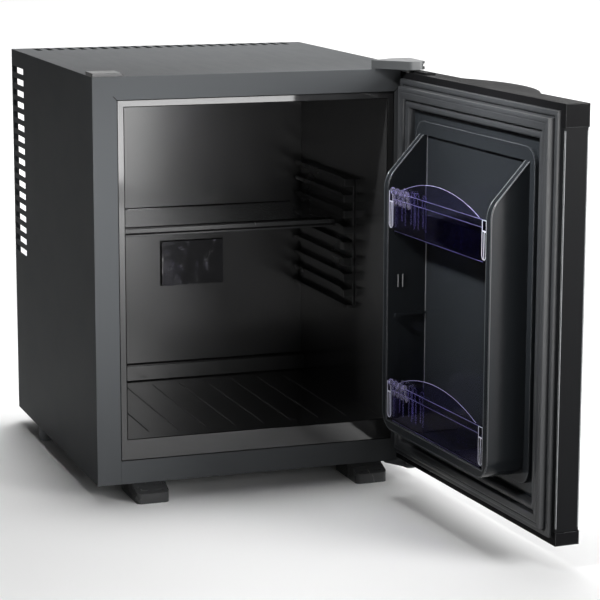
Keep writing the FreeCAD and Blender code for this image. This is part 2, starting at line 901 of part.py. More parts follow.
def make_shelf():
    """Half-depth glass shelf and the trim along its front edge."""
    glass = box(
        "glass_blank",
        about("0", "shelf_side"),
        ("shelf_front + trim_wall", "cavity_back - shelf_rear_gap"),
        ("shelf_bottom", "shelf_top"),
    )
    corners = [(f"{sign} * (shelf_side)", "cavity_back - shelf_rear_gap") for _, sign in BOTH]
    keep(rounded("shelf_glass", glass, "shelf_corner", "z", *corners))
    bar = box(
        "trim_bar",
        about("0", "trim_side"),
        ("shelf_front", "shelf_front + trim_depth"),
        ("shelf_bottom - trim_skirt", "shelf_top + trim_wall"),
    )
    slot = box(
        "trim_slot",
        about("0", "trim_side + overrun"),
        ("shelf_front + trim_wall", "shelf_front + trim_depth + overrun"),
        ("shelf_bottom", "shelf_top"),
    )
    under = box(
        "trim_under",
        about("0", "trim_side + overrun"),
        ("shelf_front + trim_wall", "shelf_front + trim_depth + overrun"),
        ("shelf_bottom - trim_skirt - overrun", "shelf_bottom - trim_wall"),
    )
    keep(cut("shelf_front_trim", bar, slot, under))


def make_feet():
    """Wedge feet that reach out in front, and tapered rear feet."""
    head = "screw_head_radius + screw_clearance"
    for word, sign in BOTH:
        foot = new_body(f"front_{word}_foot")
        middle = f"{sign} * front_foot_offset"
        nose = "front - front_foot_reach"
        profile = sketch(foot, f"{word}_foot_profile", "YZ_Plane", f"{middle} - front_foot_width / 2")
        outline(profile, [
            ("front + front_foot_tail", "0"),
            (nose, "0"),
            (nose, "front_foot_nose"),
            ("front", "base"),
            ("front + front_foot_tail", "base"),
        ])
        pad(foot, profile, "front_foot_width")
        spots = [(x, nose) for x in about(middle, "front_foot_width / 2")]
        soften(foot, "front_foot_corner", "z", *spots)
        slots = sketch(foot, f"{word}_foot_slots", "XY_Plane", "base")
        for step in (-1, 1):
            low, high = about(f"{middle} + {step} * foot_slot_pitch / 2", "foot_slot_length / 2")
            back = f"{nose} + foot_slot_setback"
            outline(slots, [
                (low, back),
                (high, back),
                (high, f"{back} + foot_slot_width"),
                (low, f"{back} + foot_slot_width"),
            ])
        pocket(foot, slots, "base - front_foot_nose + foot_slot_depth")
        seat = sketch(foot, f"{word}_foot_seat", "XY_Plane", "0")
        circle(seat, middle, "front + foot_screw_setback", head)
        pocket(foot, seat, "foot_screw_seat", reverse=True)
        hole = sketch(foot, f"{word}_foot_hole", "XY_Plane", "0")
        circle(hole, middle, "front + foot_screw_setback", "screw_hole")
        foot.Tip = pocket(foot, hole, "foot_height", reverse=True)
        keep(foot)
    for word, sign in BOTH:
        x, y = f"{sign} * (side - rear_foot_inset)", "rear - rear_foot_setback"
        taper = doc.addObject("Part::Cone", f"rear_{word}_taper")
        bind(taper, "Radius1", "rear_foot_sole_radius")
        bind(taper, "Radius2", "rear_foot_top_radius")
        bind(taper, "Height", "foot_height")
        bind(taper, "Placement.Base.x", x)
        bind(taper, "Placement.Base.y", y)
        seat = rod(f"rear_{word}_seat", "z", head, x, y, ("-overrun", "foot_screw_seat"))
        hole = rod(f"rear_{word}_hole", "z", "screw_hole", x, y, ("-overrun", "foot_height + overrun"))
        keep(cut(f"rear_{word}_foot", taper, seat, hole))


def screw(name, along, x, y, z, shank, head):
    """One screw: its shank and its head, each a span along the screw's own axis."""
    places = {"x": x, "y": y, "z": z}
    parts = []
    for part, radius, span in (("shank", "screw_radius", shank), ("head", "screw_head_radius", head)):
        places[along] = span
        parts.append(rod(f"{name}_{part}", along, radius, places["x"], places["y"], places["z"]))
    return fuse(name, *parts)


def make_floor_screws():
    """Screws that hold the feet and the hinges."""
    feet = [
        screw(
            f"foot_screw_{index}", "z", x, y, None,
            ("foot_screw_seat", "base + sheet_thickness"),
            ("foot_screw_seat - foot_screw_head", "foot_screw_seat"),
        )
        for index, (x, y) in enumerate(FOOT_SPOTS)
    ]
    keep(group("foot_screws", feet))
    lower = [
        screw(
            f"lower_hinge_screw_{index}", "z", x, y, None,
            ("base - hinge_plate", "base + sheet_thickness"),
            ("base - hinge_plate - screw_head_height", "base - hinge_plate"),
        )
        for index, (x, y) in enumerate(LOWER_HINGE_SPOTS)
    ]
    upper = [
        screw(
            f"upper_hinge_screw_{index}", "z", x, y, None,
            ("top - sheet_thickness", "bracket_top"),
            ("bracket_top", "bracket_top + screw_head_height"),
        )
        for index, (x, y) in enumerate(UPPER_HINGE_SPOTS)
    ]
    keep(group("hinge_screws", lower + upper))


def make_top_hinge():
    """Stepped bracket on the roof, its pin, the moulded cover and the blank cover of the unused corner."""
    bracket = new_body("top_hinge_bracket")
    profile = sketch(bracket, "top_bracket_profile", "YZ_Plane", "hinge_x - hinge_nose")
    outline(profile, [
        ("front + hinge_foot_depth", "top"),
        ("front + hinge_foot_depth", "bracket_top"),
        ("hinge_y - hinge_nose", "bracket_top"),
        ("hinge_y - hinge_nose", "bracket_bottom"),
        ("front + hinge_foot_margin", "bracket_bottom"),
        ("front + hinge_foot_margin", "top"),
    ])
    pad(bracket, profile, "hinge_nose * 2")
    holes = sketch(bracket, "top_bracket_holes", "XY_Plane", "top")
    circle(holes, "hinge_x", "hinge_y", "pin_radius + screw_clearance")
    for x, y in UPPER_HINGE_SPOTS:
        circle(holes, x, y, "screw_hole")
    bracket.Tip = pocket(bracket, holes, "bracket_top - top", reverse=True)
    keep(bracket)
    shaft = rod(
        "top_pin_shaft", "z", "pin_radius", "hinge_x", "hinge_y",
        ("door_top - pin_depth", "bracket_top"),
    )
    head = rod(
        "top_pin_head", "z", "pin_head_radius", "hinge_x", "hinge_y",
        ("bracket_top", "bracket_top + screw_head_height"),
    )
    keep(fuse("top_hinge_pin", shaft, head))
    cover = new_body("top_hinge_cover")
    plan = sketch(cover, "cover_plan", "XY_Plane", "top")
    rear_edge = "front + hinge_foot_depth + cover_gap + cover_wall"
    outline(plan, [
        ("hinge_x - cover_reach - cover_tail", "front + hinge_foot_margin"),
        ("hinge_x - cover_reach", "hinge_y - cover_reach"),
        ("hinge_x + cover_reach", "hinge_y - cover_reach"),
        ("hinge_x + cover_reach", rear_edge),
        ("hinge_x - cover_reach", rear_edge),
    ])
    pad(cover, plan, "cover_top - top")
    spots = [(f"hinge_x + {sign} * (cover_reach)", "hinge_y - cover_reach") for _, sign in BOTH]
    soften(cover, "hinge_nose", "z", *spots)
    room = sketch(cover, "cover_room", "XY_Plane", "top")
    inside = "(hinge_nose + cover_gap)"
    outline(room, [
        (f"hinge_x - {inside}", f"hinge_y - {inside}"),
        (f"hinge_x + {inside}", f"hinge_y - {inside}"),
        (f"hinge_x + {inside}", "front + hinge_foot_depth + cover_gap"),
        (f"hinge_x - {inside}", "front + hinge_foot_depth + cover_gap"),
    ])
    pocket(cover, room, "cover_ceiling - top", reverse=True)
    skirt = sketch(cover, "cover_skirt", "XY_Plane", "top")
    outline(skirt, [
        ("hinge_x - cover_reach - cover_tail", "hinge_y - cover_reach - overrun"),
        ("side + overrun", "hinge_y - cover_reach - overrun"),
        ("side + overrun", "front"),
        ("hinge_x - cover_reach - cover_tail", "front"),
    ])
    cover.Tip = pocket(cover, skirt, "cover_skirt_gap", reverse=True)
    keep(cover)
    blank = new_body("hinge_blank_cover")
    side_view = sketch(blank, "blank_profile", "XZ_Plane", "-(front + blank_depth)")
    outline(side_view, [
        ("-(side)", "top"),
        ("-(side) + blank_length", "top"),
        ("-(side) + blank_length - blank_chamfer", "top + blank_height"),
        ("-(side)", "top + blank_height"),
    ])
    pad(blank, side_view, "blank_depth")
    keep(blank)


def make_bottom_hinge():
    """Flat arm screwed under the base, and its riveted pin."""
    arm = new_body("bottom_hinge_bracket")
    plan = sketch(arm, "arm_plan", "XY_Plane", "base - hinge_plate")
    outline(plan, [
        ("hinge_x + hinge_nose - hinge_arm_width", "front + hinge_arm_depth"),
        ("hinge_x + hinge_nose - hinge_arm_width", "front"),
        ("hinge_x - hinge_nose", "hinge_y"),
        ("hinge_x - hinge_nose", "hinge_y - hinge_nose"),
        ("hinge_x + hinge_nose", "hinge_y - hinge_nose"),
        ("hinge_x + hinge_nose", "front + hinge_arm_depth"),
    ])
    pad(arm, plan, "hinge_plate")
    spots = [(f"hinge_x + {sign} * hinge_nose", "hinge_y - hinge_nose") for _, sign in BOTH]
    soften(arm, "hinge_nose - seat_clearance", "z", *spots)
    holes = sketch(arm, "arm_holes", "XY_Plane", "base - hinge_plate")
    circle(holes, "hinge_x", "hinge_y", "pin_radius + screw_clearance")
    for x, y in LOWER_HINGE_SPOTS:
        circle(holes, x, y, "screw_hole")
    arm.Tip = pocket(arm, holes, "hinge_plate", reverse=True)
    keep(arm)
    shaft = rod(
        "low_pin_shaft", "z", "pin_radius", "hinge_x", "hinge_y",
        ("base - hinge_plate", "door_bottom + pin_depth"),
    )
    head = rod(
        "low_pin_head", "z", "pin_head_radius", "hinge_x", "hinge_y",
        ("base - hinge_plate - screw_head_height", "base - hinge_plate"),
    )
    keep(fuse("bottom_hinge_pin", shaft, head))


# Cooling unit
def evaporator_block(name):
    return box(
        name,
        ("evaporator_left", "evaporator_left + evaporator_width"),
        ("cavity_back + liner_wall", "evaporator_rear"),
        ("evaporator_bottom", "evaporator_bottom + evaporator_height"),
    )


def evaporator_tube_rods(name, radius, past):
    """Straight tubes, or their holes, from the evaporator to the outside of the back plate."""
    span = ("evaporator_rear", f"plate_rear + {past}")
    spots = (("condenser_end", "condenser_z"), ("coil_left", "coil_top"))
    return [rod(f"{name}_{index}", "y", radius, x, span, z) for index, (x, z) in enumerate(spots)]


def saddle_spots():
    """Middles of the saddles: two under the vessel, two on the boiler's jacket."""
    vessel_middle = "vessel_left + vessel_length / 2"
    jacket_middle = "jacket_bottom + jacket_length / 2"
    return [
        (f"{vessel_middle} + {sign} * vessel_saddle_spread / 2", "vessel_z") for _, sign in BOTH
    ] + [("boiler_offset", f"{jacket_middle} + {sign} * boiler_saddle_spread / 2") for _, sign in BOTH]


def saddle_screw_places():
    """Two screws beside each saddle: above and below on the vessel, left and right on the jacket."""
    places = []
    for index, (x, z) in enumerate(saddle_spots()):
        for _, sign in BOTH:
            shift = f"{sign} * saddle_screw_rise"
            places.append((x, f"{z} + {shift}") if index < 2 else (f"{x} + {shift}", z))
    return places


def saddle_screw_rods(name, radius, span):
    places = enumerate(saddle_screw_places())
    return [rod(f"{name}_{index}", "y", radius, x, span, z) for index, (x, z) in places]


def make_evaporator():
    keep(evaporator_block("evaporator_plate"))
    keep(group("evaporator_tubes", evaporator_tube_rods("evaporator_tube", "tube_radius", "0")))


def make_boiler():
    """Insulated can round the boiler tube, with the heater cartridge beside the tube."""
    can = rod("jacket_can", "z", "jacket_radius", "boiler_offset", "unit_y", ("jacket_bottom", "jacket_top"))
    room = rod(
        "jacket_room", "z", "jacket_radius - jacket_wall", "boiler_offset", "unit_y",
        ("jacket_bottom + jacket_wall", "jacket_top - jacket_wall"),
    )
    passage = rod(
        "jacket_passage", "z", "tube_radius + tube_clearance", "boiler_offset", "unit_y",
        ("jacket_bottom - overrun", "jacket_top + overrun"),
    )
    entry = rod(
        "jacket_entry", "z", "heater_radius + tube_clearance", "heater_x", "unit_y",
        ("jacket_bottom - overrun", "jacket_bottom + jacket_wall + overrun"),
    )
    keep(cut("boiler_jacket", can, room, passage, entry))
    keep(rod(
        "boiler_tube", "z", "tube_radius", "boiler_offset", "unit_y",
        ("jacket_bottom - boiler_tail", "boiler_top"),
    ))
    keep(rod(
        "heater_cartridge", "z", "heater_radius", "heater_x", "unit_y",
        ("jacket_bottom - heater_tail", "jacket_bottom - heater_tail + heater_length"),
    ))


def make_condenser():
    """Tube from the boiler across the top of the compartment, and its fins."""
    keep(tube("condenser_tube", [
        ("boiler_offset", "unit_y", "boiler_top"),
        ("boiler_offset", "unit_y", "condenser_z"),
        ("condenser_end", "unit_y", "condenser_z"),
        ("condenser_end", "plate_rear", "condenser_z"),
    ], "tube_bend", "tube_radius"))
    fins = []
    for step in range(int(SIZES["fin_count"])):
        left = f"condenser_end + fin_start + {step} * fin_pitch"
        span = (left, f"{left} + fin_thickness")
        plate = box(
            f"fin_plate_{step}", span, about("unit_y", "fin_size / 2"), about("condenser_z", "fin_size / 2")
        )
        past = (f"{left} - overrun", f"{left} + fin_thickness + overrun")
        hole = rod(f"fin_hole_{step}", "x", "tube_radius + tube_clearance", past, "unit_y", "condenser_z")
        fins.append(cut(f"fin_{step}", plate, hole))
    keep(group("condenser_fins", fins))


def make_absorber():
    """Serpentine that rises from the vessel's stub, and the vessel itself."""
    low, high = "coil_left", "coil_right"
    levels = [f"coil_z + {step} * coil_pitch" for step in range(int(SIZES["coil_run_count"]))]
    turns = [(low, "unit_y", "stub_top")]
    for step, level in enumerate(levels):
        start, end = (low, high) if step % 2 == 0 else (high, low)
        turns += [(start, "unit_y", level), (end, "unit_y", level)]
    turns.append((turns[-1][0], "plate_rear", levels[-1]))
    keep(tube("absorber_coil", turns, "tube_bend", "tube_radius"))
    span = ("vessel_left", "vessel_left + vessel_length")
    doc.recompute()
    tank = doc.addObject("Part::Fillet", "vessel_tank")
    tank.Base = rod("vessel_drum", "x", "vessel_radius", span, "unit_y", "vessel_z")
    doc.recompute()
    dome = number("vessel_dome")
    rims = [index for index, edge in enumerate(tank.Base.Shape.Edges, 1) if len(edge.Vertexes) == 1]
    tank.Edges = [(index, dome, dome) for index in rims]
    stub = rod("vessel_stub", "z", "tube_radius", "coil_left", "unit_y", ("vessel_z", "stub_top"))
    keep(fuse("absorber_vessel", tank, stub))


def make_unit_saddles():
    """Blocks on the back plate that hold the vessel and the boiler's jacket, with their screws."""
    saddles = []
    for index, (x, z) in enumerate(saddle_spots()):
        half, flange = "saddle_width / 2", "saddle_flange_half"
        sideways = index >= 2
        name = f"saddle_{index}"
        body_x = about(x, "saddle_half_height" if sideways else half)
        body_z = about(z, half if sideways else "saddle_half_height")
        block = box(f"{name}_block", body_x, ("plate_rear", "unit_y"), body_z)
        plate = box(
            f"{name}_flange",
            about(x, flange if sideways else half),
            ("plate_rear", "plate_rear + saddle_flange_thickness"),
            about(z, half if sideways else flange),
        )
        if sideways:
            seat = rod(
                f"{name}_seat", "z", "jacket_radius + tube_clearance", x, "unit_y",
                (f"{z} - {half} - overrun", f"{z} + {half} + overrun"),
            )
        else:
            seat = rod(
                f"{name}_seat", "x", "vessel_radius + tube_clearance",
                (f"{x} - {half} - overrun", f"{x} + {half} + overrun"), "unit_y", z,
            )
        first = index * 2
        holes = [
            rod(
                f"{name}_hole_{spot}", "y", "screw_hole", screw_x,
                ("plate_rear - overrun", "plate_rear + saddle_flange_thickness + overrun"), screw_z,
            )
            for spot, (screw_x, screw_z) in enumerate(saddle_screw_places()[first:first + 2])
        ]
        saddles.append(cut(name, fuse(f"{name}_blank", block, plate), seat, *holes))
    keep(group("unit_saddles", saddles))
    face = "plate_rear + saddle_flange_thickness"
    spans = ("box_rear", face), (face, f"{face} + screw_head_height")
    screws = [
        screw(f"unit_screw_{index}", "y", x, None, z, *spans)
        for index, (x, z) in enumerate(saddle_screw_places())
    ]
    keep(group("unit_screws", screws))


def make_controls():
    """Control box on the base, the power inlet in its rear face and the thermostat knob."""
    blank = box(
        "control_blank",
        ("control_left", "control_right"),
        ("plate_rear", "control_rear"),
        ("control_bottom", "control_top"),
    )
    room = box(
        "control_room",
        ("control_left + control_wall", "control_right - control_wall"),
        ("plate_rear - overrun", "control_rear - control_wall"),
        ("control_bottom + control_wall", "control_top - control_wall"),
    )
    through = ("control_rear - control_wall - overrun", "control_rear + overrun")
    shaft_hole = rod(
        "control_shaft_hole", "y", "knob_shaft_radius + running_clearance", "knob_x", through, "control_z"
    )
    inlet_x = about("inlet_x", "inlet_width / 2")
    inlet_z = about("control_z", "inlet_height / 2")
    inlet_hole = box("control_inlet_hole", inlet_x, through, inlet_z)
    keep(cut("control_box", blank, room, shaft_hole, inlet_hole))
    socket = box("inlet_body", inlet_x, ("control_rear - inlet_depth", "control_rear"), inlet_z)
    flange = box(
        "inlet_flange_plate",
        about("inlet_x", "inlet_width / 2 + inlet_flange"),
        ("control_rear", "control_rear + inlet_flange_thickness"),
        about("control_z", "inlet_height / 2 + inlet_flange"),
    )
    mouth = box(
        "inlet_mouth",
        about("inlet_x", "inlet_width / 2 - inlet_wall"),
        ("control_rear - inlet_depth + inlet_wall", "control_rear + inlet_flange_thickness + overrun"),
        about("control_z", "inlet_height / 2 - inlet_wall"),
    )
    blades = [
        rod(
            f"inlet_blade_{step}", "y", "inlet_pin_radius", f"inlet_x + {step} * inlet_pin_pitch",
            ("control_rear - inlet_depth", "control_rear - inlet_wall"), "control_z",
        )
        for step in (-1, 0, 1)
    ]
    keep(fuse("power_inlet", cut("inlet_shell", fuse("inlet_blank", socket, flange), mouth), *blades))
    knob = new_body("thermostat_knob")
    back = "control_rear + seat_clearance"
    disc = sketch(knob, "knob_disc", "XZ_Plane", f"-({back} + knob_height)")
    circle(disc, "0", "0", "knob_radius")
    pad(knob, disc, "knob_height")
    shaft = sketch(knob, "knob_shaft", "XZ_Plane", f"-({back})")
    circle(shaft, "0", "0", "knob_shaft_radius")
    pad(knob, shaft, "knob_shaft_length")
    notch = sketch(knob, "knob_notch", "XZ_Plane", f"-({back} + knob_height)")
    circle(notch, "0", "knob_radius + knob_notch_radius / 2", "knob_notch_radius")
    ring_of(knob, pocket(knob, notch, both_ways=True), disc, "knob_notch_count")
    bind(knob, "Placement.Base.x", "knob_x")
    bind(knob, "Placement.Base.z", "control_z")
    keep(knob)


def make_door_skin():
    """Outer sheet of the door: its face, both edges and the lips round the inner side."""
    skin = new_body("door_skin")
    plan = sketch(skin, "skin_plan", "XY_Plane", "door_bottom + bottom_cap_height")
    inner, back = "door_inner", "door_inner - sheet_thickness"
    outline(plan, [
        ("hinge_end", inner),
        ("hinge_end", "door_outer"),
        ("free_end", "door_outer"),
        ("free_end", inner),
        ("free_end + door_lip", inner),
        ("free_end + door_lip", back),
        ("free_end + sheet_thickness", back),
        ("free_end + sheet_thickness", "door_outer + sheet_thickness"),
        ("hinge_end - sheet_thickness", "door_outer + sheet_thickness"),
        ("hinge_end - sheet_thickness", back),
        ("hinge_end - door_lip", back),
        ("hinge_end - door_lip", inner),
    ])
    pad(skin, plan, "door_top - top_cap_height - door_bottom - bottom_cap_height")
    keep(hang(skin))


CAP_ROOM_X = ("free_end + cap_wall", "hinge_end - cap_hinge_block")
CAP_ROOM_Y = ("door_outer + cap_wall", "door_inner - liner_wall - cap_wall")
TOP_ROOM_Z = ("door_top - top_cap_height", "door_top - cap_wall")
BOTTOM_ROOM_Z = ("door_bottom + cap_wall", "door_bottom + bottom_cap_height")


def cap_blank(name, low, high):
    """A cap over the whole thickness of the door, cut back where the liner's flange lies."""
    blank = box(
        f"{name}_blank",
        ("free_end - cap_proud", "hinge_end + cap_proud"),
        ("door_outer - cap_proud", "door_inner"),
        (low, high),
    )
    flange = box(
        f"{name}_seat",
        ("free_end + door_lip", "hinge_end - door_lip"),
        ("door_inner - liner_wall", "door_inner + overrun"),
        ("door_bottom + door_lip", "door_top - door_lip"),
    )
    return cut(f"{name}_shell", blank, flange)


def make_door_caps():
    """Moulded top cap with its grip, and the bottom cap."""
    bush_hole = "bush_radius + running_clearance"
    shell = cap_blank("top_cap", "door_top - top_cap_height", "door_top")
    radius = "((grip_width / 2) ^ 2 + grip_reach ^ 2) / (2 * grip_reach)"
    middle_y = f"door_outer - grip_reach + {radius}"
    outside = shared(
        "grip_outside",
        rod("grip_disc", "z", radius, "door_middle", middle_y, ("door_top - grip_height", "door_top")),
        box(
            "grip_half",
            about("door_middle", "grip_width"),
            ("door_outer - grip_reach - overrun", "door_outer + cap_wall"),
            ("door_top - grip_height", "door_top"),
        ),
    )
    hollow = shared(
        "grip_hollow",
        rod(
            "grip_hollow_disc", "z", f"{radius} - grip_wall", "door_middle", middle_y,
            ("door_top - grip_height - overrun", "door_top - grip_roof"),
        ),
        box(
            "grip_hollow_half",
            about("door_middle", "grip_width"),
            ("door_outer - grip_reach - overrun", "door_outer - cap_proud"),
            ("door_top - grip_height - overrun", "door_top - grip_roof"),
        ),
    )
    stop = box(
        "cap_stop",
        ("hinge_end - cap_stop_start - cap_stop_length", "hinge_end - cap_stop_start"),
        about("0", "cap_stop_width / 2"),
        ("door_top", "door_top + cap_stop_height"),
    )
    solid = fuse("top_cap_solid", shell, outside, stop)
    room = box("top_cap_room", CAP_ROOM_X, CAP_ROOM_Y, (f"{TOP_ROOM_Z[0]} - overrun", TOP_ROOM_Z[1]))
    bore = rod("top_cap_bore", "z", bush_hole, "0", "0", ("door_top - bush_depth", "door_top + overrun"))
    keep(hang(cut("door_top_cap", solid, hollow, room, bore)))
    shell = cap_blank("bottom_cap", "door_bottom", "door_bottom + bottom_cap_height")
    room = box("bottom_cap_room", CAP_ROOM_X, CAP_ROOM_Y, (BOTTOM_ROOM_Z[0], f"{BOTTOM_ROOM_Z[1]} + overrun"))
    bore = rod(
        "bottom_cap_bore", "z", bush_hole, "0", "0",
        ("door_bottom - overrun", "door_bottom + pin_depth + cap_wall"),
    )
    keep(hang(cut("door_bottom_cap", shell, room, bore)))


def make_hinge_bushes():
    """Ribbed bush in the top cap and flanged bush in the bottom cap, both round the hinge pins."""
    bush = new_body("top_hinge_bush")
    ring = sketch(bush, "top_bush_ring", "XY_Plane", "door_top - bush_depth")
    circle(ring, "0", "0", "bush_radius")
    pad(bush, ring, "bush_depth + collar_height")
    rib = sketch(bush, "top_bush_rib", "XY_Plane", "door_top + seat_clearance")
    circle(rib, "bush_radius", "0", "collar_rib_radius")
    ridge = pad(bush, rib, "collar_height - seat_clearance * 2")
    ring_of(bush, ridge, ring, "collar_rib_count")
    bore = sketch(bush, "top_bush_bore", "XY_Plane", "collar_top")
    circle(bore, "0", "0", "pin_radius + running_clearance")
    bush.Tip = pocket(bush, bore, "collar_height + pin_depth + seat_clearance")
    keep(hang(bush))
    sleeve = rod(
        "low_bush_sleeve", "z", "bush_radius", "0", "0", ("door_bottom", "door_bottom + pin_depth + cap_wall")
    )
    flange = rod(
        "low_bush_flange", "z", "bush_flange_radius", "0", "0", ("base + seat_clearance", "door_bottom")
    )
    bore = rod(
        "low_bush_bore", "z", "pin_radius + running_clearance", "0", "0",
        ("base - overrun", "door_bottom + pin_depth + seat_clearance"),
    )
    keep(hang(cut("bottom_hinge_bush", fuse("low_bush_blank", sleeve, flange), bore)))


def door_tub(name, inset):
    """The raised tub between the door's shelves, drawn in by a distance, with its sloping top."""
    side_x = f"dyke_side - {inset}"
    low = f"dyke_bottom + {inset}"
    deep = f"door_inner + dyke_reach - {inset}"
    block = box(
        f"{name}_block", about("door_middle", side_x), ("door_inner - liner_wall", deep), (low, "dyke_top")
    )
    corners = [(f"door_middle + {sign} * ({side_x})", low) for _, sign in BOTH]
    soft = rounded(f"{name}_soft", block, f"dyke_corner - {inset}", "y", *corners)
    run = "(dyke_reach - panel_raise)"
    drop = f"{inset} * sqrt(1 + (dyke_slope / {run}) ^ 2)"
    steep = f"dyke_slope / {run}"
    wedge = doc.addObject("Sketcher::SketchObject", f"{name}_wedge_profile")
    wedge.Placement = Placement(Vector(), Rotation(AXES["y"], AXES["z"], AXES["x"], "ZXY"))
    outline(wedge, [
        ("door_inner + panel_raise - overrun", f"dyke_top - {drop} + overrun * {steep}"),
        ("door_inner + dyke_reach + overrun", f"dyke_top - {drop} - dyke_slope - overrun * {steep}"),
        ("door_inner + dyke_reach + overrun", "dyke_top + dyke_slope"),
        ("door_inner + panel_raise - overrun", "dyke_top + dyke_slope"),
    ])
    bind(wedge, "Placement.Base.x", "door_middle - dyke_side - overrun")
    slope = doc.addObject("Part::Extrusion", f"{name}_wedge")
    slope.Base = wedge
    slope.DirMode = "Custom"
    slope.Dir = Vector(1, 0, 0)
    slope.Solid = True
    bind(slope, "LengthFwd", "(dyke_side + overrun) * 2")
    ramp = cut(f"{name}_ramp", soft, slope)
    bend_z = f"dyke_top - {drop} - dyke_slope * (dyke_reach - {inset} - panel_raise) / {run}"
    return rounded(name, ramp, f"dyke_bend - {inset}", "x", (deep, bend_z))


def door_recess(name, outset):
    """The space between the tub's walls, grown by a distance."""
    side_x = f"recess_side + {outset}"
    low = f"recess_bottom - {outset}"
    block = box(
        f"{name}_block",
        about("door_middle", side_x),
        (f"door_inner - {outset}", "door_inner + dyke_reach + overrun"),
        (low, f"dyke_top + {outset}"),
    )
    corners = [(f"door_middle + {sign} * ({side_x})", low) for _, sign in BOTH]
    return rounded(name, block, f"recess_corner + {outset}", "y", *corners)


def door_panel(name, inset):
    """The low raised panel that carries the tub, drawn in by a distance."""
    across = about("door_middle", f"panel_side - {inset}")
    upright = (f"panel_bottom + {inset}", f"panel_top - {inset}")
    block = box(
        f"{name}_block", across, ("door_inner - liner_wall", f"door_inner + panel_raise - {inset}"), upright
    )
    return rounded(name, block, f"panel_corner - {inset}", "y", *[(x, z) for x in across for z in upright])


def door_core(name):
    """Insulation that fills the back of the panel and the tub's walls."""
    wall = "liner_wall"
    raised = fuse(f"{name}_raised", door_panel(f"{name}_panel", wall), door_tub(f"{name}_tub", wall))
    return cut(name, raised, door_recess(f"{name}_recess", wall))


def make_door_liner():
    """Moulded inner side of the door: flange, panel, tub, and the ribs and pegs that carry the bins."""
    flange = box(
        "door_flange",
        ("free_end + door_lip", "hinge_end - door_lip"),
        ("door_inner - liner_wall", "door_inner"),
        ("door_bottom + door_lip", "door_top - door_lip"),
    )
    solid = fuse("door_liner_solid", flange, door_panel("door_panel", "0"), door_tub("door_tub", "0"))
    shell = cut("door_liner_shell", solid, door_recess("door_recess", "0"), door_core("liner_core"))
    holders = []
    for level_name, level in (("upper", "upper_bin_seat"), ("spare", "spare_bin_seat")):
        for word, sign in BOTH:
            wall = f"door_middle + {sign} * (recess_side)"
            ends = [wall, f"{wall} - {sign} * bin_rib_reach"]
            tips = [wall, f"{wall} - {sign} * bin_peg_reach"]
            holders.append(box(
                f"{level_name}_{word}_rib",
                ends if sign < 0 else ends[::-1],
                ("door_inner", "door_inner + bin_rib_length"),
                (f"{level} - bin_rib_height", level),
            ))
            holders.append(rod(
                f"{level_name}_{word}_peg", "x", "bin_peg_radius",
                tips if sign < 0 else tips[::-1],
                "door_inner + bin_rib_length",
                f"{level} - bin_peg_radius",
            ))
    keep(hang(fuse("door_liner", shell, *holders)))


def make_door_foam():
    slab = box(
        "door_slab",
        ("free_end + sheet_thickness", "hinge_end - sheet_thickness"),
        ("door_outer + sheet_thickness", "door_inner - liner_wall"),
        ("door_bottom + bottom_cap_height", "door_top - top_cap_height"),
    )
    upper = box("door_slab_top", CAP_ROOM_X, CAP_ROOM_Y, TOP_ROOM_Z)
    lower = box("door_slab_bottom", CAP_ROOM_X, CAP_ROOM_Y, BOTTOM_ROOM_Z)
    keep(hang(fuse("door_foam", slab, upper, lower, door_core("foam_core"))))


def door_ring(name, outside, inside, low, high):
    """A rectangular ring on the door's inner side between two distances from its edges."""
    def block(part, inset, y):
        return box(
            f"{name}_{part}",
            (f"free_end + {inset}", f"hinge_end - ({inset})"),
            y,
            (f"door_bottom + {inset}", f"door_top - ({inset})"),
        )

    around = block("around", outside, (low, high))
    within = block("within", inside, (f"{low} - overrun", f"{high} + overrun"))
    return cut(name, around, within)


def make_gasket():
    """Magnetic seal: outer band, groove, magnet bulb, fold and inner fin, and the magnet strips."""
    bands = (
        ("band", "door_lip", "door_lip + gasket_band_width", "gasket_band_height"),
        ("groove", "door_lip + gasket_band_width", "bulb_inset", "gasket_groove_height"),
        ("bulb", "bulb_inset", "fold_inset", "bulb_height"),
        ("fold", "fold_inset", "fin_inset", "gasket_fold_height"),
        ("fin", "fin_inset", "gasket_end", "gasket_fin_height"),
    )
    rings = [
        door_ring(f"gasket_{word}", outside, inside, "door_inner", f"door_inner + {height}")
        for word, outside, inside, height in bands
    ]
    near, far = "bulb_inset + gasket_skin", "fold_inset - gasket_skin"
    ceiling = "door_inner + bulb_height - gasket_skin"
    channel = door_ring("gasket_channel", near, far, "door_inner - overrun", ceiling)
    keep(hang(cut("door_gasket", fuse("gasket_bands", *rings), channel)))
    depth = (f"{ceiling} - magnet_height", ceiling)
    upright = (f"door_bottom + {far}", f"door_top - ({far})")
    strips = [
        box("magnet_hinge", (f"hinge_end - ({far})", f"hinge_end - ({near})"), depth, upright),
        box("magnet_free", (f"free_end + {near}", f"free_end + {far}"), depth, upright),
    ]
    across = (f"free_end + {near}", f"hinge_end - ({near})")
    strips.append(box("magnet_top", across, depth, (f"door_top - ({far})", f"door_top - ({near})")))
    strips.append(box("magnet_bottom", across, depth, (f"door_bottom + {near}", f"door_bottom + {far}")))
    keep(hang(group("gasket_magnets", strips)))


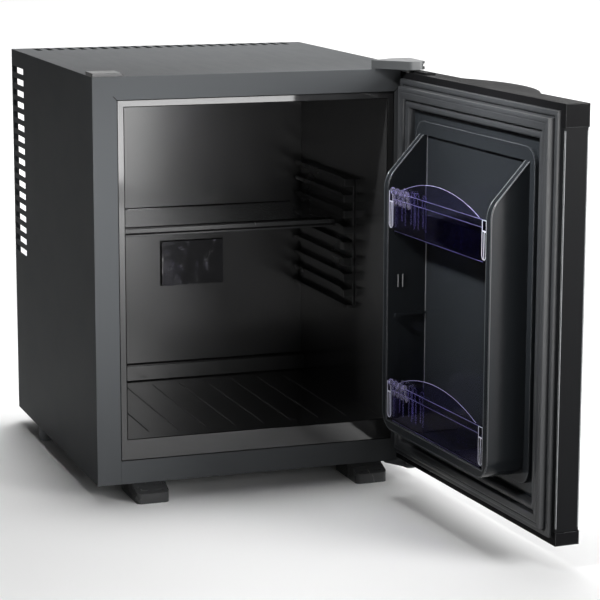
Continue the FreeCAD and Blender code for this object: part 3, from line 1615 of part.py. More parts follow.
def make_bin(name, low):
    """A clear door bin: floor, arched front with its band, ends, rear lip and corner blocks."""
    across = about("door_middle", "bin_side")
    deep = ("bin_back", "bin_front")
    rim = f"{low} + bin_height"
    proud = ("bin_front", "bin_front + bin_band_proud")
    pieces = [
        box(f"{name}_floor", across, deep, (low, f"{low} + bin_wall")),
        box(f"{name}_front", across, ("bin_front - bin_wall", "bin_front"), (low, rim)),
        box(f"{name}_rear", across, ("bin_back", "bin_back + bin_wall"), (low, f"{low} + bin_rear_height")),
        box(f"{name}_band", across, proud, (f"{rim} - bin_band_height", rim)),
    ]
    for word, sign in BOTH:
        outer = f"door_middle + {sign} * (bin_side)"
        wall = [outer, f"{outer} - {sign} * bin_wall"]
        block = [outer, f"{outer} - {sign} * bin_block_width"]
        pieces.append(box(
            f"{name}_{word}_end", wall if sign < 0 else wall[::-1], deep, (low, f"{low} + bin_end_height")
        ))
        pieces.append(box(
            f"{name}_{word}_block",
            block if sign < 0 else block[::-1],
            ("bin_front - bin_block_depth", "bin_front + bin_band_proud"),
            (f"{low} + bin_block_foot", rim),
        ))
    radius = "((bin_arch_width / 2) ^ 2 + bin_arch_rise ^ 2) / (2 * bin_arch_rise)"
    sheet_y = ("bin_front - bin_wall", "bin_front")
    pieces.append(shared(
        f"{name}_arch",
        rod(f"{name}_arch_disc", "y", radius, "door_middle", sheet_y, f"{rim} + bin_arch_rise - {radius}"),
        box(
            f"{name}_arch_half",
            about("door_middle", "bin_arch_width / 2"),
            sheet_y,
            (f"{rim} - bin_band_height", f"{rim} + bin_arch_rise + overrun"),
        ),
    ))
    keep(hang(fuse(name, *pieces)))


make_outer_wrap()
make_base_plate()
make_cabinet_liner()
make_back_plate()
make_cabinet_foam()
make_lamp()
make_shelf_racks()
make_shelf()
make_feet()
make_floor_screws()
make_top_hinge()
make_bottom_hinge()
make_evaporator()
make_boiler()
make_condenser()
make_absorber()
make_unit_saddles()
make_controls()
make_door_skin()
make_door_caps()
make_hinge_bushes()
make_door_liner()
make_door_foam()
make_gasket()
make_bin("upper_bin", "(upper_bin_seat + seat_clearance)")
make_bin("lower_bin", "(recess_bottom + seat_clearance)")
doc.recompute()

# Nothing is written unless every object is sound.
broken = [item.Name for item in doc.Objects if {"Invalid", "Error"} & set(item.State)]
if broken:
    raise RuntimeError(f"failed objects: {broken}")
for piece in nodes:
    if piece.Shape.isNull() or not piece.Shape.isValid():
        raise RuntimeError(f"{piece.Label} has no sound shape")
os.makedirs("parts", exist_ok=True)
for piece in nodes:
    piece.Shape.exportStep(f"parts/{piece.Label}.step")
    print(f"{piece.Label}: {len(piece.Shape.Solids)} solids, {piece.Shape.Volume / 1000:.1f} cm3")
print(f"{len(nodes)} nodes")
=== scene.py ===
# %% [markdown]
# # A minibar fridge with its door open
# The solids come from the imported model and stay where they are. This lesson dresses them: it makes the
# finishes, softens the moulded edges, and rebuilds the pieces whose real form is finer than their solid.

# %% Load the frame
import json
import math

import bmesh
import bpy
from mathutils import Matrix, Vector


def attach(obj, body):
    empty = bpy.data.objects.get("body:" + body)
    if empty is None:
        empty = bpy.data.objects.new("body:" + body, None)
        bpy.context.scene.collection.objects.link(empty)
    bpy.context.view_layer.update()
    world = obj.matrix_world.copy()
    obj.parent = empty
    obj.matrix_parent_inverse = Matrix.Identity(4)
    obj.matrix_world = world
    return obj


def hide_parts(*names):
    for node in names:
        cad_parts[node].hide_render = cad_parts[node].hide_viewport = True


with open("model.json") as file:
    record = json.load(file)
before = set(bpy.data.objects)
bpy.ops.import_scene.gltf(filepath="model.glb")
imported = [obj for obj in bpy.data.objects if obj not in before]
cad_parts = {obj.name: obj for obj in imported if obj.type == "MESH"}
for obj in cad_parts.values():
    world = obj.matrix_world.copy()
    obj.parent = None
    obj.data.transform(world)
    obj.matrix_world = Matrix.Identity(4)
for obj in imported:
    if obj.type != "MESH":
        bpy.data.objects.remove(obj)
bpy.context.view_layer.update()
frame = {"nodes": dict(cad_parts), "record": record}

scene = bpy.context.scene
behaviour = frame["record"]["behaviour"]
BODY_OF = {node: body for body, nodes in behaviour["bodies"].items() for node in nodes}
JOINTS = {joint["name"]: joint for joint in behaviour["joints"]}
SLOT_OF = {part["node"]: part["material_slot"] for part in frame["record"]["subparts"]}
MM = 0.001

# %% [markdown]
# ## Camera
# The photograph looks slightly down on the fridge from its left. The place and the long lens come from
# matching the cabinet's and the door's corners, so only the direction is turned into a rotation here.

# %% Camera
CAMERA_PLACE = (-0.8336, -2.7112, 0.7411)
SENSOR_WIDTH, FOCAL_LENGTH, FARTHEST = 36.0, 135.29, 50.0
YAW, PITCH, ROLL = (math.radians(angle) for angle in (19.517, 10.943, 0.161))
turn = Matrix.Rotation(-YAW, 3, "Z") @ Matrix.Rotation(math.pi / 2 - PITCH, 3, "X")
turn = turn @ Matrix.Rotation(ROLL, 3, "Z")
camera_data = bpy.data.cameras.new("photo_view")
camera_data.sensor_width = SENSOR_WIDTH
camera_data.lens = FOCAL_LENGTH
camera_data.clip_end = FARTHEST
camera = bpy.data.objects.new("photo_view", camera_data)
camera.location = CAMERA_PLACE
camera.rotation_euler = turn.to_euler()
scene.collection.objects.link(camera)
scene.camera = camera
print("camera", [round(v, 3) for v in camera.location], "lens", camera_data.lens)

# %% [markdown]
# ## Lamps
# A black object is drawn by what it mirrors. The key lamp stands in front on the right, so the open door
# shades the right half of the frame, and a wide one in front is what the cavity's walls mirror. A weak lamp
# models the left side, narrow ones reach the left stile and the door's inner face, and one overhead lights
# the roof. Two lamps brighten the floor outside the picture, in front and on the left, which the polished rim
# and the door's ridges mirror, and three more keep the floor before and behind the fridge pale.

# %% Lamps
scene.view_settings.view_transform = "Standard"


def soft_lamp(name, place, size, power, aim=None, spread=180):
    """A lamp with a power in watts and a spread in degrees; without an aim it shines straight down."""
    lamp = bpy.data.lights.new(name, "AREA")
    lamp.shape = "RECTANGLE"
    lamp.size, lamp.size_y = size
    lamp.energy = power
    lamp.spread = math.radians(spread)
    holder = bpy.data.objects.new(name, lamp)
    holder.location = place
    target = Vector(aim or (place[0], place[1], 0.0))
    holder.rotation_euler = (target - Vector(place)).to_track_quat("-Z", "Y").to_euler()
    scene.collection.objects.link(holder)


soft_lamp("key_softbox", (1.7, -2.1, 0.85), (1.2, 1.0), power=20, aim=(0.0, -0.25, 0.3), spread=90)
soft_lamp("stile_softbox", (-0.15, -2.4, 0.5), (0.3, 0.3), power=0.42, aim=(-0.19, -0.21, 0.34), spread=14)
soft_lamp("front_softbox", (0.75, -2.3, 0.55), (1.8, 1.0), power=24, aim=(-0.1, -0.2, 0.25))
soft_lamp("left_softbox", (-2.6, -0.6, 0.8), (0.9, 1.3), power=1.5, aim=(0.0, -0.2, 0.3))
soft_lamp("door_softbox", (-1.7, -0.8, 2.0), (0.3, 0.3), power=1.9, aim=(0.17, -0.47, 0.48), spread=14)
soft_lamp("roof_softbox", (0.1, 0.2, 2.5), (0.8, 0.8), power=3.4, spread=40)
soft_lamp("front_floor_softbox", (0.9, -3.3, 2.5), (2.0, 3.2), power=60, spread=60)
soft_lamp("left_floor_softbox", (-1.5, -1.1, 1.6), (1.0, 1.0), power=11, spread=60)
soft_lamp("near_floor_softbox", (-0.2, -0.64, 1.8), (0.5, 0.3), power=0.32, spread=26)
soft_lamp("background_softbox", (3.2, 6.2, 3.0), (6.5, 9.0), power=430)
soft_lamp("floor_softbox", (1.5, 2.2, 2.6), (2.4, 2.4), power=50, spread=110)

# %% [markdown]
# ## Room
# The room is nearly dark. The floor looks pale to the camera and in reflections, but throws little light
# back, so the black stays deep. The kind of ray that meets the floor picks one of two tones for it.

# %% Room
ROOM_STRENGTH, FLOOR_REACH = 0.05, 16.0
FLOOR_DIM, FLOOR_PALE = (0.3, 0.3, 0.3, 1), (0.85, 0.85, 0.85, 1)


def add_node(tree, kind, values=None, **settings):
    """Adds a node: settings go on the node itself, and values on its sockets by their names."""
    node = tree.nodes.new(kind)
    for label, setting in settings.items():
        setattr(node, label, setting)
    for label, value in (values or {}).items():
        node.inputs[label].default_value = value
    return node


def wire(tree, start, end):
    tree.links.new(start, end)


world = bpy.data.worlds.new("dim_room")
scene.world = world
world.use_nodes = True
sky = world.node_tree.nodes["Background"]
sky.inputs["Color"].default_value = (1, 1, 1, 1)
sky.inputs["Strength"].default_value = ROOM_STRENGTH

floor_mesh = bpy.data.meshes.new("floor")
floor_corners = [(x * FLOOR_REACH, y * FLOOR_REACH, 0) for x, y in ((-1, -1), (1, -1), (1, 1), (-1, 1))]
floor_mesh.from_pydata(floor_corners, [], [(0, 1, 2, 3)])
floor = bpy.data.objects.new("floor", floor_mesh)
scene.collection.objects.link(floor)
floor_finish = bpy.data.materials.new("pale_floor")
floor_finish.use_nodes = True
floor_tree = floor_finish.node_tree
floor_shader = floor_tree.nodes["Principled BSDF"]
floor_shader.inputs["Roughness"].default_value = 0.9
floor_shader.inputs["Specular IOR Level"].default_value = 0.0
ray = add_node(floor_tree, "ShaderNodeLightPath")
shown = ray.outputs["Is Camera Ray"]
for kind in ("Is Glossy Ray", "Is Transmission Ray"):
    either = add_node(floor_tree, "ShaderNodeMath", operation="MAXIMUM")
    wire(floor_tree, shown, either.inputs[0])
    wire(floor_tree, ray.outputs[kind], either.inputs[1])
    shown = either.outputs[0]
floor_tone = add_node(floor_tree, "ShaderNodeMix", {"A": FLOOR_DIM, "B": FLOOR_PALE}, data_type="RGBA")
wire(floor_tree, shown, floor_tone.inputs["Factor"])
wire(floor_tree, floor_tone.outputs["Result"], floor_shader.inputs["Base Color"])
floor_mesh.materials.append(floor_finish)
print("floor tones", FLOOR_DIM[0], "and", FLOOR_PALE[0])

# %% [markdown]
# ## Shared surface effects
# Moulded plastic, coated sheet and rubber all have a fine grain, faint wipe marks and a little settled dust.
# Each effect is one node group that puts out heights and masks, and every finish sets its own scale and
# amount. The grain comes first: one noise for the fine height and one for a slow drift of tone.

# %% Grain


def effect_group(name, inputs, outputs):
    """An empty shader group with named number sockets."""
    tree = bpy.data.node_groups.new(name, "ShaderNodeTree")
    for label, value in inputs.items():
        socket = tree.interface.new_socket(label, in_out="INPUT", socket_type="NodeSocketFloat")
        socket.default_value = value
    for label in outputs:
        tree.interface.new_socket(label, in_out="OUTPUT", socket_type="NodeSocketFloat")
    return tree, tree.nodes.new("NodeGroupInput"), tree.nodes.new("NodeGroupOutput")


def make_grain():
    scales = {"Scale": 1500.0, "Tone Scale": 9.0}
    tree, inside, out = effect_group("surface_grain", scales, ["Height", "Tone"])
    place = add_node(tree, "ShaderNodeTexCoord")
    for scale, detail, result in (("Scale", 3.0, "Height"), ("Tone Scale", 4.0, "Tone")):
        noise = add_node(tree, "ShaderNodeTexNoise", {"Detail": detail})
        wire(tree, place.outputs["Object"], noise.inputs["Vector"])
        wire(tree, inside.outputs[scale], noise.inputs["Scale"])
        wire(tree, noise.outputs["Fac"], out.inputs[result])
    return tree


GRAIN = make_grain()
print("effect group", GRAIN.name)

# %% [markdown]
# ### Wipe marks
# A cloth leaves long faint smears. A noise that is squeezed along X and cut to its brighter part has that
# drawn-out form, and it only changes the roughness, as real smears do.

# %% Wipe marks


def make_wipe_marks():
    tree, inside, out = effect_group("wipe_marks", {"Scale": 14.0, "Stretch": 6.0}, ["Mask"])
    place = add_node(tree, "ShaderNodeTexCoord")
    factors = add_node(tree, "ShaderNodeCombineXYZ", {"Y": 1.0, "Z": 1.6})
    stretch = add_node(tree, "ShaderNodeVectorMath", operation="MULTIPLY")
    noise = add_node(tree, "ShaderNodeTexNoise", {"Detail": 5.0, "Distortion": 0.6})
    smears = add_node(tree, "ShaderNodeMapRange", {"From Min": 0.42, "From Max": 0.7})
    wire(tree, inside.outputs["Stretch"], factors.inputs["X"])
    wire(tree, place.outputs["Object"], stretch.inputs[0])
    wire(tree, factors.outputs[0], stretch.inputs[1])
    wire(tree, stretch.outputs[0], noise.inputs["Vector"])
    wire(tree, inside.outputs["Scale"], noise.inputs["Scale"])
    wire(tree, noise.outputs["Fac"], smears.inputs["Value"])
    wire(tree, smears.outputs[0], out.inputs["Mask"])
    return tree


WIPES = make_wipe_marks()
print("effect group", WIPES.name)

# %% [markdown]
# ### Settled dust
# Dust lies only on faces that look up, as specks in a thin veil. The normal's upward part says how much of
# a speckled noise shows, and each finish gives its own amount.

# %% Settled dust


def make_dust():
    tree, inside, out = effect_group("settled_dust", {"Amount": 0.2}, ["Mask"])
    place = add_node(tree, "ShaderNodeTexCoord")
    facing = add_node(tree, "ShaderNodeNewGeometry")
    split = add_node(tree, "ShaderNodeSeparateXYZ")
    specks = add_node(tree, "ShaderNodeTexNoise", {"Scale": 240.0, "Detail": 6.0})
    upward = add_node(tree, "ShaderNodeMapRange", {"From Min": 0.55})
    lying = add_node(tree, "ShaderNodeMath", operation="MULTIPLY")
    veil = add_node(tree, "ShaderNodeMath", operation="MULTIPLY")
    wire(tree, place.outputs["Object"], specks.inputs["Vector"])
    wire(tree, facing.outputs["Normal"], split.inputs[0])
    wire(tree, split.outputs["Z"], upward.inputs["Value"])
    wire(tree, upward.outputs[0], lying.inputs[0])
    wire(tree, specks.outputs["Fac"], lying.inputs[1])
    wire(tree, lying.outputs[0], veil.inputs[0])
    wire(tree, inside.outputs["Amount"], veil.inputs[1])
    wire(tree, veil.outputs[0], out.inputs["Mask"])
    return tree


DUST = make_dust()
print("effect group", DUST.name)

# %% [markdown]
# ## Finishes
# Every finish has the same build: a base colour that drifts with the slow tone and pales with dust, a
# roughness that changes where a cloth has passed, and a bump from the grain. What differs is named in the
# call. These are the finishes of the material slots, and each solid gets its own at once.

# %% Slot finishes
DUST_COLOR, WIPE_SCALE = (0.42, 0.41, 0.39, 1), 14.0
COAT = {}


def finish(name, color, roughness, grain=1500.0, bump=0.05, depth=0.00005, tone=0.25, wipe=0.08, dust=0.05,
           tone_scale=9.0, stretch=6.0, **shader_values):
    """A procedural material; extra values go on the shader's own sockets."""
    material = bpy.data.materials.new(name)
    material.use_nodes = True
    tree = material.node_tree
    shader = tree.nodes["Principled BSDF"]
    grained = add_node(tree, "ShaderNodeGroup", {"Scale": grain, "Tone Scale": tone_scale}, node_tree=GRAIN)
    wiped = add_node(tree, "ShaderNodeGroup", {"Scale": WIPE_SCALE, "Stretch": stretch}, node_tree=WIPES)
    dusted = add_node(tree, "ShaderNodeGroup", {"Amount": dust}, node_tree=DUST)
    darker, paler = [c * (1 - tone) for c in color], [min(1, c * (1 + tone)) for c in color]
    body = add_node(tree, "ShaderNodeMix", {"A": (*darker, 1), "B": (*paler, 1)}, data_type="RGBA")
    veil = add_node(tree, "ShaderNodeMix", {"B": DUST_COLOR}, data_type="RGBA")
    rough = add_node(tree, "ShaderNodeMapRange", {"To Min": roughness, "To Max": min(1.0, roughness + wipe)})
    relief = add_node(tree, "ShaderNodeBump", {"Strength": bump, "Distance": depth})
    wire(tree, grained.outputs["Tone"], body.inputs["Factor"])
    wire(tree, body.outputs["Result"], veil.inputs["A"])
    wire(tree, dusted.outputs["Mask"], veil.inputs["Factor"])
    wire(tree, veil.outputs["Result"], shader.inputs["Base Color"])
    wire(tree, wiped.outputs["Mask"], rough.inputs["Value"])
    wire(tree, rough.outputs[0], shader.inputs["Roughness"])
    wire(tree, grained.outputs["Height"], relief.inputs["Height"])
    wire(tree, relief.outputs["Normal"], shader.inputs["Normal"])
    for label, value in shader_values.items():
        shader.inputs[label.replace("_", " ")].default_value = value
    COAT[name] = material


finish("satin_black_sheet", (0.073, 0.077, 0.081), 0.46, grain=2600, bump=0.2, tone=0.06, wipe=0.03,
       Specular_IOR_Level=0.015)
finish("galvanised_sheet", (0.52, 0.53, 0.54), 0.38, grain=120, bump=0.08, tone=0.2, tone_scale=60,
       Metallic=0.9)
finish("gloss_liner", (0.027, 0.0273, 0.028), 0.2, grain=260, bump=0.001, tone=0.06, wipe=0.01, dust=0.0,
       Specular_IOR_Level=0.9)
finish("black_plastic", (0.012, 0.012, 0.013), 0.4, grain=1900, bump=0.3, tone=0.15, dust=0.02)
finish("gloss_cap", (0.006, 0.006, 0.0065), 0.2, grain=900, bump=0.04, wipe=0.06, dust=0.01,
       Specular_IOR_Level=0.02)
finish("grey_plastic", (0.26, 0.27, 0.28), 0.5, bump=0.3)
finish("foam", (0.8, 0.72, 0.48), 0.9, grain=900, bump=0.6)
finish("seal_rubber", (0.028, 0.0296, 0.032), 0.3, grain=1700, bump=0.12, wipe=0.1, dust=0.01)
finish("magnet", (0.06, 0.055, 0.05), 0.6)
finish("violet_clear", (0.6, 0.56, 0.95), 0.0, grain=60, bump=0.001, tone=0.03, wipe=0.0, dust=0.0,
       Transmission_Weight=1.0, IOR=1.35)
finish("shelf_glass", (0.5, 0.51, 0.52), 0.03, grain=40, bump=0.004, tone=0.05, wipe=0.01, dust=0.0,
       Transmission_Weight=0.9, IOR=1.5)
finish("zinc_steel", (0.56, 0.56, 0.55), 0.3, grain=700, bump=0.08, tone=0.15, Metallic=1.0)
finish("unit_black", (0.02, 0.02, 0.021), 0.45, grain=900, bump=0.2, dust=0.12)
finish("jacket_steel", (0.58, 0.59, 0.6), 0.28, grain=300, bump=0.06, stretch=1.0, Metallic=1.0)
finish("evaporator_aluminium", (0.72, 0.73, 0.74), 0.35, Metallic=1.0)
finish("board", (0.7, 0.73, 0.69), 0.5, grain=800)
for node, thing in frame["nodes"].items():
    thing.data.materials.clear()
    thing.data.materials.append(COAT[SLOT_OF[node]])
print("slot finishes", len(COAT))

# %% [markdown]
# ### Finishes of single pieces
# Some pieces share a slot and yet look different: the door is darker than the cabinet, the lens is wavy, and
# pale marks need a tone of their own. Painted highlights on bright edges and painted shade in dark seams get
# their own tones too.

# %% Piece finishes
finish("door_liner_gloss", (0.0135, 0.0155, 0.0178), 0.2, grain=260, bump=0.002, tone=0.06, wipe=0.01,
       dust=0.0, Specular_IOR_Level=0.2)
finish("door_black_sheet", (0.006, 0.0063, 0.0068), 0.34, grain=2600, bump=0.1, tone=0.06, wipe=0.04,
       dust=0.01, Specular_IOR_Level=0.035)
finish("smoked_lens", (0.03, 0.03, 0.032), 0.04, grain=11, bump=0.8, depth=0.006, tone=0.75, wipe=0.01,
       dust=0.0, Specular_IOR_Level=0.8)
finish("foot_plastic", (0.034, 0.035, 0.036), 0.24, grain=900, bump=0.06, tone=0.15, wipe=0.06, dust=0.02)
finish("rack_plastic", (0.022, 0.0225, 0.0235), 0.24, grain=900, bump=0.03, tone=0.1, wipe=0.04, dust=0.01)
finish("hinge_cover_plastic", (0.06, 0.064, 0.066), 0.36, grain=1900, bump=0.2, tone=0.1, dust=0.02)
# Painted highlight: far paler than the door's liner, for the beads on its crests and panel edge.
finish("painted_highlight_ridge", (0.08, 0.084, 0.09), 0.16, grain=400, bump=0.01, tone=0.1, wipe=0.02, dust=0.0,
       Specular_IOR_Level=0.8)
# Painted highlight: a pale colour for the door's folds, cap edges and wall ribs, where they would catch
# light.
finish("painted_highlight_edge", (0.16, 0.165, 0.17), 0.3, grain=500, bump=0.02, tone=0.15, wipe=0.05, dust=0.0)
finish("pale_mark", (0.6, 0.6, 0.58), 0.45, grain=700, tone=0.08, dust=0.02)
# Painted shade: near black, for the beads laid in the gaps between parts.
finish("shadow_seam", (0.0025, 0.0025, 0.0027), 0.7, grain=900, bump=0.1, tone=0.1, dust=0.0,
       Specular_IOR_Level=0.1)
# Painted glow: a pale violet stands in for the light that leaves the clear bins' edges.
finish("painted_glow_violet_edge", (0.3, 0.285, 0.46), 0.12, grain=300, bump=0.03, tone=0.1, dust=0.0)
# Painted glow: a pale grey for the outlines of the bins' clear end blocks.
finish("painted_glow_clear_edge", (0.6, 0.6, 0.68), 0.12, grain=300, bump=0.03, tone=0.12, dust=0.0)
finish("clear_violet_clip", (0.74, 0.7, 0.98), 0.1, grain=220, tone=0.05, wipe=0.02, dust=0.0,
       Transmission_Weight=0.92, IOR=1.4)
finish("tinned_contact", (0.7, 0.69, 0.66), 0.22, grain=500, Metallic=1.0)
print("finishes in all", len(COAT))

# %% [markdown]
# ## Polished rim
# The cavity is vacuum formed: its flange was pressed against the polished tool and mirrors the room, while
# the walls were stretched and turned satin. One material carries both, because the depth along Y says which
# face it is on.

# %% Polished rim
RIM_FRONT, RIM_BACK, RIM_ROUGHNESS = -0.2112, -0.2085, 0.05


def polish_front(material, start, end, roughness):
    """Gives a material a smoother finish in front of a depth, fading out between two places along Y."""
    tree = material.node_tree
    shader = tree.nodes["Principled BSDF"]
    satin = shader.inputs["Roughness"].links[0].from_socket
    place = add_node(tree, "ShaderNodeTexCoord")
    split = add_node(tree, "ShaderNodeSeparateXYZ")
    zone = add_node(tree, "ShaderNodeMapRange", {"From Min": start, "From Max": end})
    both = add_node(tree, "ShaderNodeMix", {"A": roughness})
    wire(tree, place.outputs["Object"], split.inputs[0])
    wire(tree, split.outputs["Y"], zone.inputs["Value"])
    wire(tree, zone.outputs[0], both.inputs["Factor"])
    wire(tree, satin, both.inputs["B"])
    wire(tree, both.outputs["Result"], shader.inputs["Roughness"])


polish_front(COAT["gloss_liner"], RIM_FRONT, RIM_BACK, RIM_ROUGHNESS)
print("polished rim to", RIM_BACK)

# %% [markdown]
# ## Softened edges
# No folded sheet or moulding has a knife edge. A copy of the solid has its loose triangles welded together
# and gets a small bevel, which catches the light as a thin line, and the copy then stands for the solid.

# %% Softened copies
WELD_DISTANCE, BEVEL_SEGMENTS, BEVEL_ANGLE = 2e-6, 2, math.radians(32)
RIB_LEVELS, RIB_FRONT, RIB_BACK, RIB_SINK = (0.0740, 0.0744), -0.19, 0.07, 0.0002
RIB_FADE, RIB_FADE_START = 0.016, -0.18


def lower_ribs(work):
    """Draws the floor's ribs down and lets them fade out at the front, as stretched sheet does."""
    for point in work.verts:
        if RIB_LEVELS[0] < point.co.z < RIB_LEVELS[1] and RIB_FRONT < point.co.y < RIB_BACK:
            point.co.z -= RIB_SINK
            point.co.y += RIB_FADE if point.co.y < RIB_FADE_START else 0.0


def softened(node, width, shape=None):
    """A copy of a node with its sharp edges rounded by a width in millimetres."""
    mesh = frame["nodes"][node].data.copy()
    work = bmesh.new()
    work.from_mesh(mesh)
    bmesh.ops.remove_doubles(work, verts=work.verts, dist=WELD_DISTANCE)
    if shape:
        shape(work)
    work.to_mesh(mesh)
    work.free()
    mesh.shade_smooth()
    piece = bpy.data.objects.new(f"{node}_dressed", mesh)
    scene.collection.objects.link(piece)
    edge = piece.modifiers.new("soft_edge", "BEVEL")
    edge.width = width * MM
    edge.segments = BEVEL_SEGMENTS
    edge.limit_method = "ANGLE"
    edge.angle_limit = BEVEL_ANGLE
    edge.miter_outer = "MITER_ARC"
    even = piece.modifiers.new("even_light", "WEIGHTED_NORMAL")
    even.keep_sharp = True
    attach(piece, BODY_OF[node])
    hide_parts(node)
    return piece


SOFT_EDGES = {
    "outer_wrap": 0.3, "base_plate": 0.3, "cabinet_liner": 0.5, "door_skin": 0.3, "door_top_cap": 0.8,
    "door_bottom_cap": 0.8, "door_liner": 1.4, "left_shelf_rack": 0.7, "right_shelf_rack": 0.7,
    "shelf_front_trim": 0.4, "shelf_glass": 0.5, "front_left_foot": 0.8, "front_right_foot": 0.8,
    "top_hinge_cover": 0.4, "hinge_blank_cover": 0.8, "bottom_hinge_bracket": 0.4, "lamp_lens": 0.5,
    "upper_bin": 0.5, "lower_bin": 0.5, "control_box": 0.8, "power_inlet": 0.4, "thermostat_knob": 0.6,
}
SHAPED = {"cabinet_liner": lower_ribs}
OWN_FINISH = {
    "lamp_lens": "smoked_lens", "door_liner": "door_liner_gloss", "door_skin": "door_black_sheet",
    "left_shelf_rack": "rack_plastic", "right_shelf_rack": "rack_plastic", "shelf_front_trim": "rack_plastic",
    "top_hinge_cover": "hinge_cover_plastic", "front_left_foot": "foot_plastic",
    "front_right_foot": "foot_plastic",
}
dressed = {node: softened(node, width, SHAPED.get(node)) for node, width in SOFT_EDGES.items()}
for node, name in OWN_FINISH.items():
    dressed[node].data.materials[0] = COAT[name]
print("softened pieces", len(dressed))

# %% [markdown]
# ## Door places
# The door's pieces are easiest to draw on a closed door, measured in millimetres from the hinge axis. One
# matrix, worked out from the hinge joint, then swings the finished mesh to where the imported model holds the
# open door.

# %% Door places
HINGE = JOINTS["door_hinge"]
HINGE_X, HINGE_Y = HINGE["pos_m"][:2]
OPEN_ANGLE = math.radians(-HINGE["range_deg"][0])
DOOR = Matrix.Translation((HINGE_X, HINGE_Y, 0.0)) @ Matrix.Rotation(OPEN_ANGLE, 4, "Z")
DOOR_MIDDLE = -HINGE_X / MM
DOOR_HALF, DOOR_LOW, DOOR_HIGH, DOOR_INSIDE, DOOR_OUTSIDE = 200.0, 27.0, 500.0, 12.0, -16.0
FREE_END, HINGE_END = DOOR_MIDDLE - DOOR_HALF, DOOR_MIDDLE + DOOR_HALF


def new_piece(name, mesh, body, coat, swing=False):
    """Puts a finished mesh on a body, swung with the door if asked."""
    if swing:
        mesh.transform(DOOR)
    mesh.materials.clear()
    mesh.materials.append(COAT[coat])
    piece = bpy.data.objects.new(name, mesh)
    scene.collection.objects.link(piece)
    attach(piece, body)
    return piece


print("door matrix", [round(v, 3) for v in DOOR.translation])

# %% [markdown]
# ## Door seal
# The seal is one extruded rubber section, cut to length and welded at mitred corners. Its section is a short
# list of points, inwards from the door's edge and out from its face, so each point is carried round the four
# corners and its neighbours are joined with quads.

# %% Door seal
SEAL_SECTION = [
    (8, 0), (8, 3.4), (8.5, 4.5), (9.8, 5), (12.2, 5), (13.5, 4.5), (14, 3.2), (14.3, 2.4), (15.7, 2.4),
    (16, 4), (16, 9.4), (16.5, 10.9), (17.8, 11.6), (20.4, 11.6), (20.9, 11.1), (21.9, 11.1), (22.4, 11.6),
    (28, 11.6), (29.4, 10.9), (30, 9.4), (30, 7.2), (30.3, 5.9), (31.7, 5.9), (32, 7.2), (32.4, 8.7),
    (33.6, 9.4), (35.6, 9.4), (37.8, 8.8), (39.4, 7.2), (40, 5.2), (40, 0),
]
SEAL_SHARP_ANGLE = math.radians(38)


def make_seal():
    low, high = (DOOR_LOW, 1), (DOOR_HIGH, -1)
    free, hinge = (FREE_END, 1), (HINGE_END, -1)
    points = []
    for (x, inward), (z, upward) in ((free, low), (hinge, low), (hinge, high), (free, high)):
        for across, out in SEAL_SECTION:
            points.append(((x + inward * across) * MM, (DOOR_INSIDE + out) * MM, (z + upward * across) * MM))
    count = len(SEAL_SECTION)
    faces = []
    for side in range(4):
        here, there = side * count, (side + 1) % 4 * count
        for step in range(count):
            after = (step + 1) % count
            faces.append((here + step, there + step, there + after, here + after))
    mesh = bpy.data.meshes.new("door_seal")
    mesh.from_pydata(points, [], faces)
    work = bmesh.new()
    work.from_mesh(mesh)
    bmesh.ops.recalc_face_normals(work, faces=work.faces)
    work.to_mesh(mesh)
    work.free()
    mesh.shade_smooth()
    mesh.set_sharp_from_angle(angle=SEAL_SHARP_ANGLE)
    return mesh


seal = new_piece("door_seal", make_seal(), "door", "seal_rubber", swing=True)
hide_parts("door_gasket")
print("seal faces", len(seal.data.polygons))

# %% [markdown]
# ## Node trees for repeats
# Fins, screws, pins, clips and edge beads are each one small shape placed many times or drawn along a path.
# Each has a Geometry Nodes tree with its sizes as inputs, and the result is kept as a plain mesh. The trees
# share three steps: a rod swept along a curve, a row of copies, and an end that makes the copies real.

# %% Tree helpers


def growing_tree(name, sizes):
    """A geometry tree with one named input for each size."""
    tree = bpy.data.node_groups.new(name, "GeometryNodeTree")
    tree.interface.new_socket("Geometry", in_out="INPUT", socket_type="NodeSocketGeometry")
    for label, value in sizes.items():
        kind = "NodeSocketInt" if isinstance(value, int) else "NodeSocketFloat"
        socket = tree.interface.new_socket(label, in_out="INPUT", socket_type=kind)
        socket.default_value = value
    tree.interface.new_socket("Geometry", in_out="OUTPUT", socket_type="NodeSocketGeometry")
    return tree, tree.nodes.new("NodeGroupInput"), tree.nodes.new("NodeGroupOutput")


def sweep_rod(tree, inside, curve):
    """A round rod along a curve, with closed ends, from the inputs Radius and Sides."""
    ring = add_node(tree, "GeometryNodeCurvePrimitiveCircle")
    rod = add_node(tree, "GeometryNodeCurveToMesh", {"Fill Caps": True})
    smooth = add_node(tree, "GeometryNodeSetShadeSmooth")
    wire(tree, inside.outputs["Radius"], ring.inputs["Radius"])
    wire(tree, inside.outputs["Sides"], ring.inputs["Resolution"])
    wire(tree, curve, rod.inputs["Curve"])
    wire(tree, ring.outputs[0], rod.inputs["Profile Curve"])
    wire(tree, rod.outputs[0], smooth.inputs[0])
    return smooth.outputs[0]


def set_row(tree, inside, piece):
    """Copies of a piece along X, from the inputs Count and Pitch; gives back the line and the copies."""
    step = add_node(tree, "ShaderNodeCombineXYZ")
    line = add_node(tree, "GeometryNodeMeshLine")
    copies = add_node(tree, "GeometryNodeInstanceOnPoints")
    wire(tree, inside.outputs["Pitch"], step.inputs["X"])
    wire(tree, step.outputs[0], line.inputs["Offset"])
    wire(tree, inside.outputs["Count"], line.inputs["Count"])
    wire(tree, line.outputs[0], copies.inputs["Points"])
    wire(tree, piece, copies.inputs["Instance"])
    return line, copies.outputs[0]


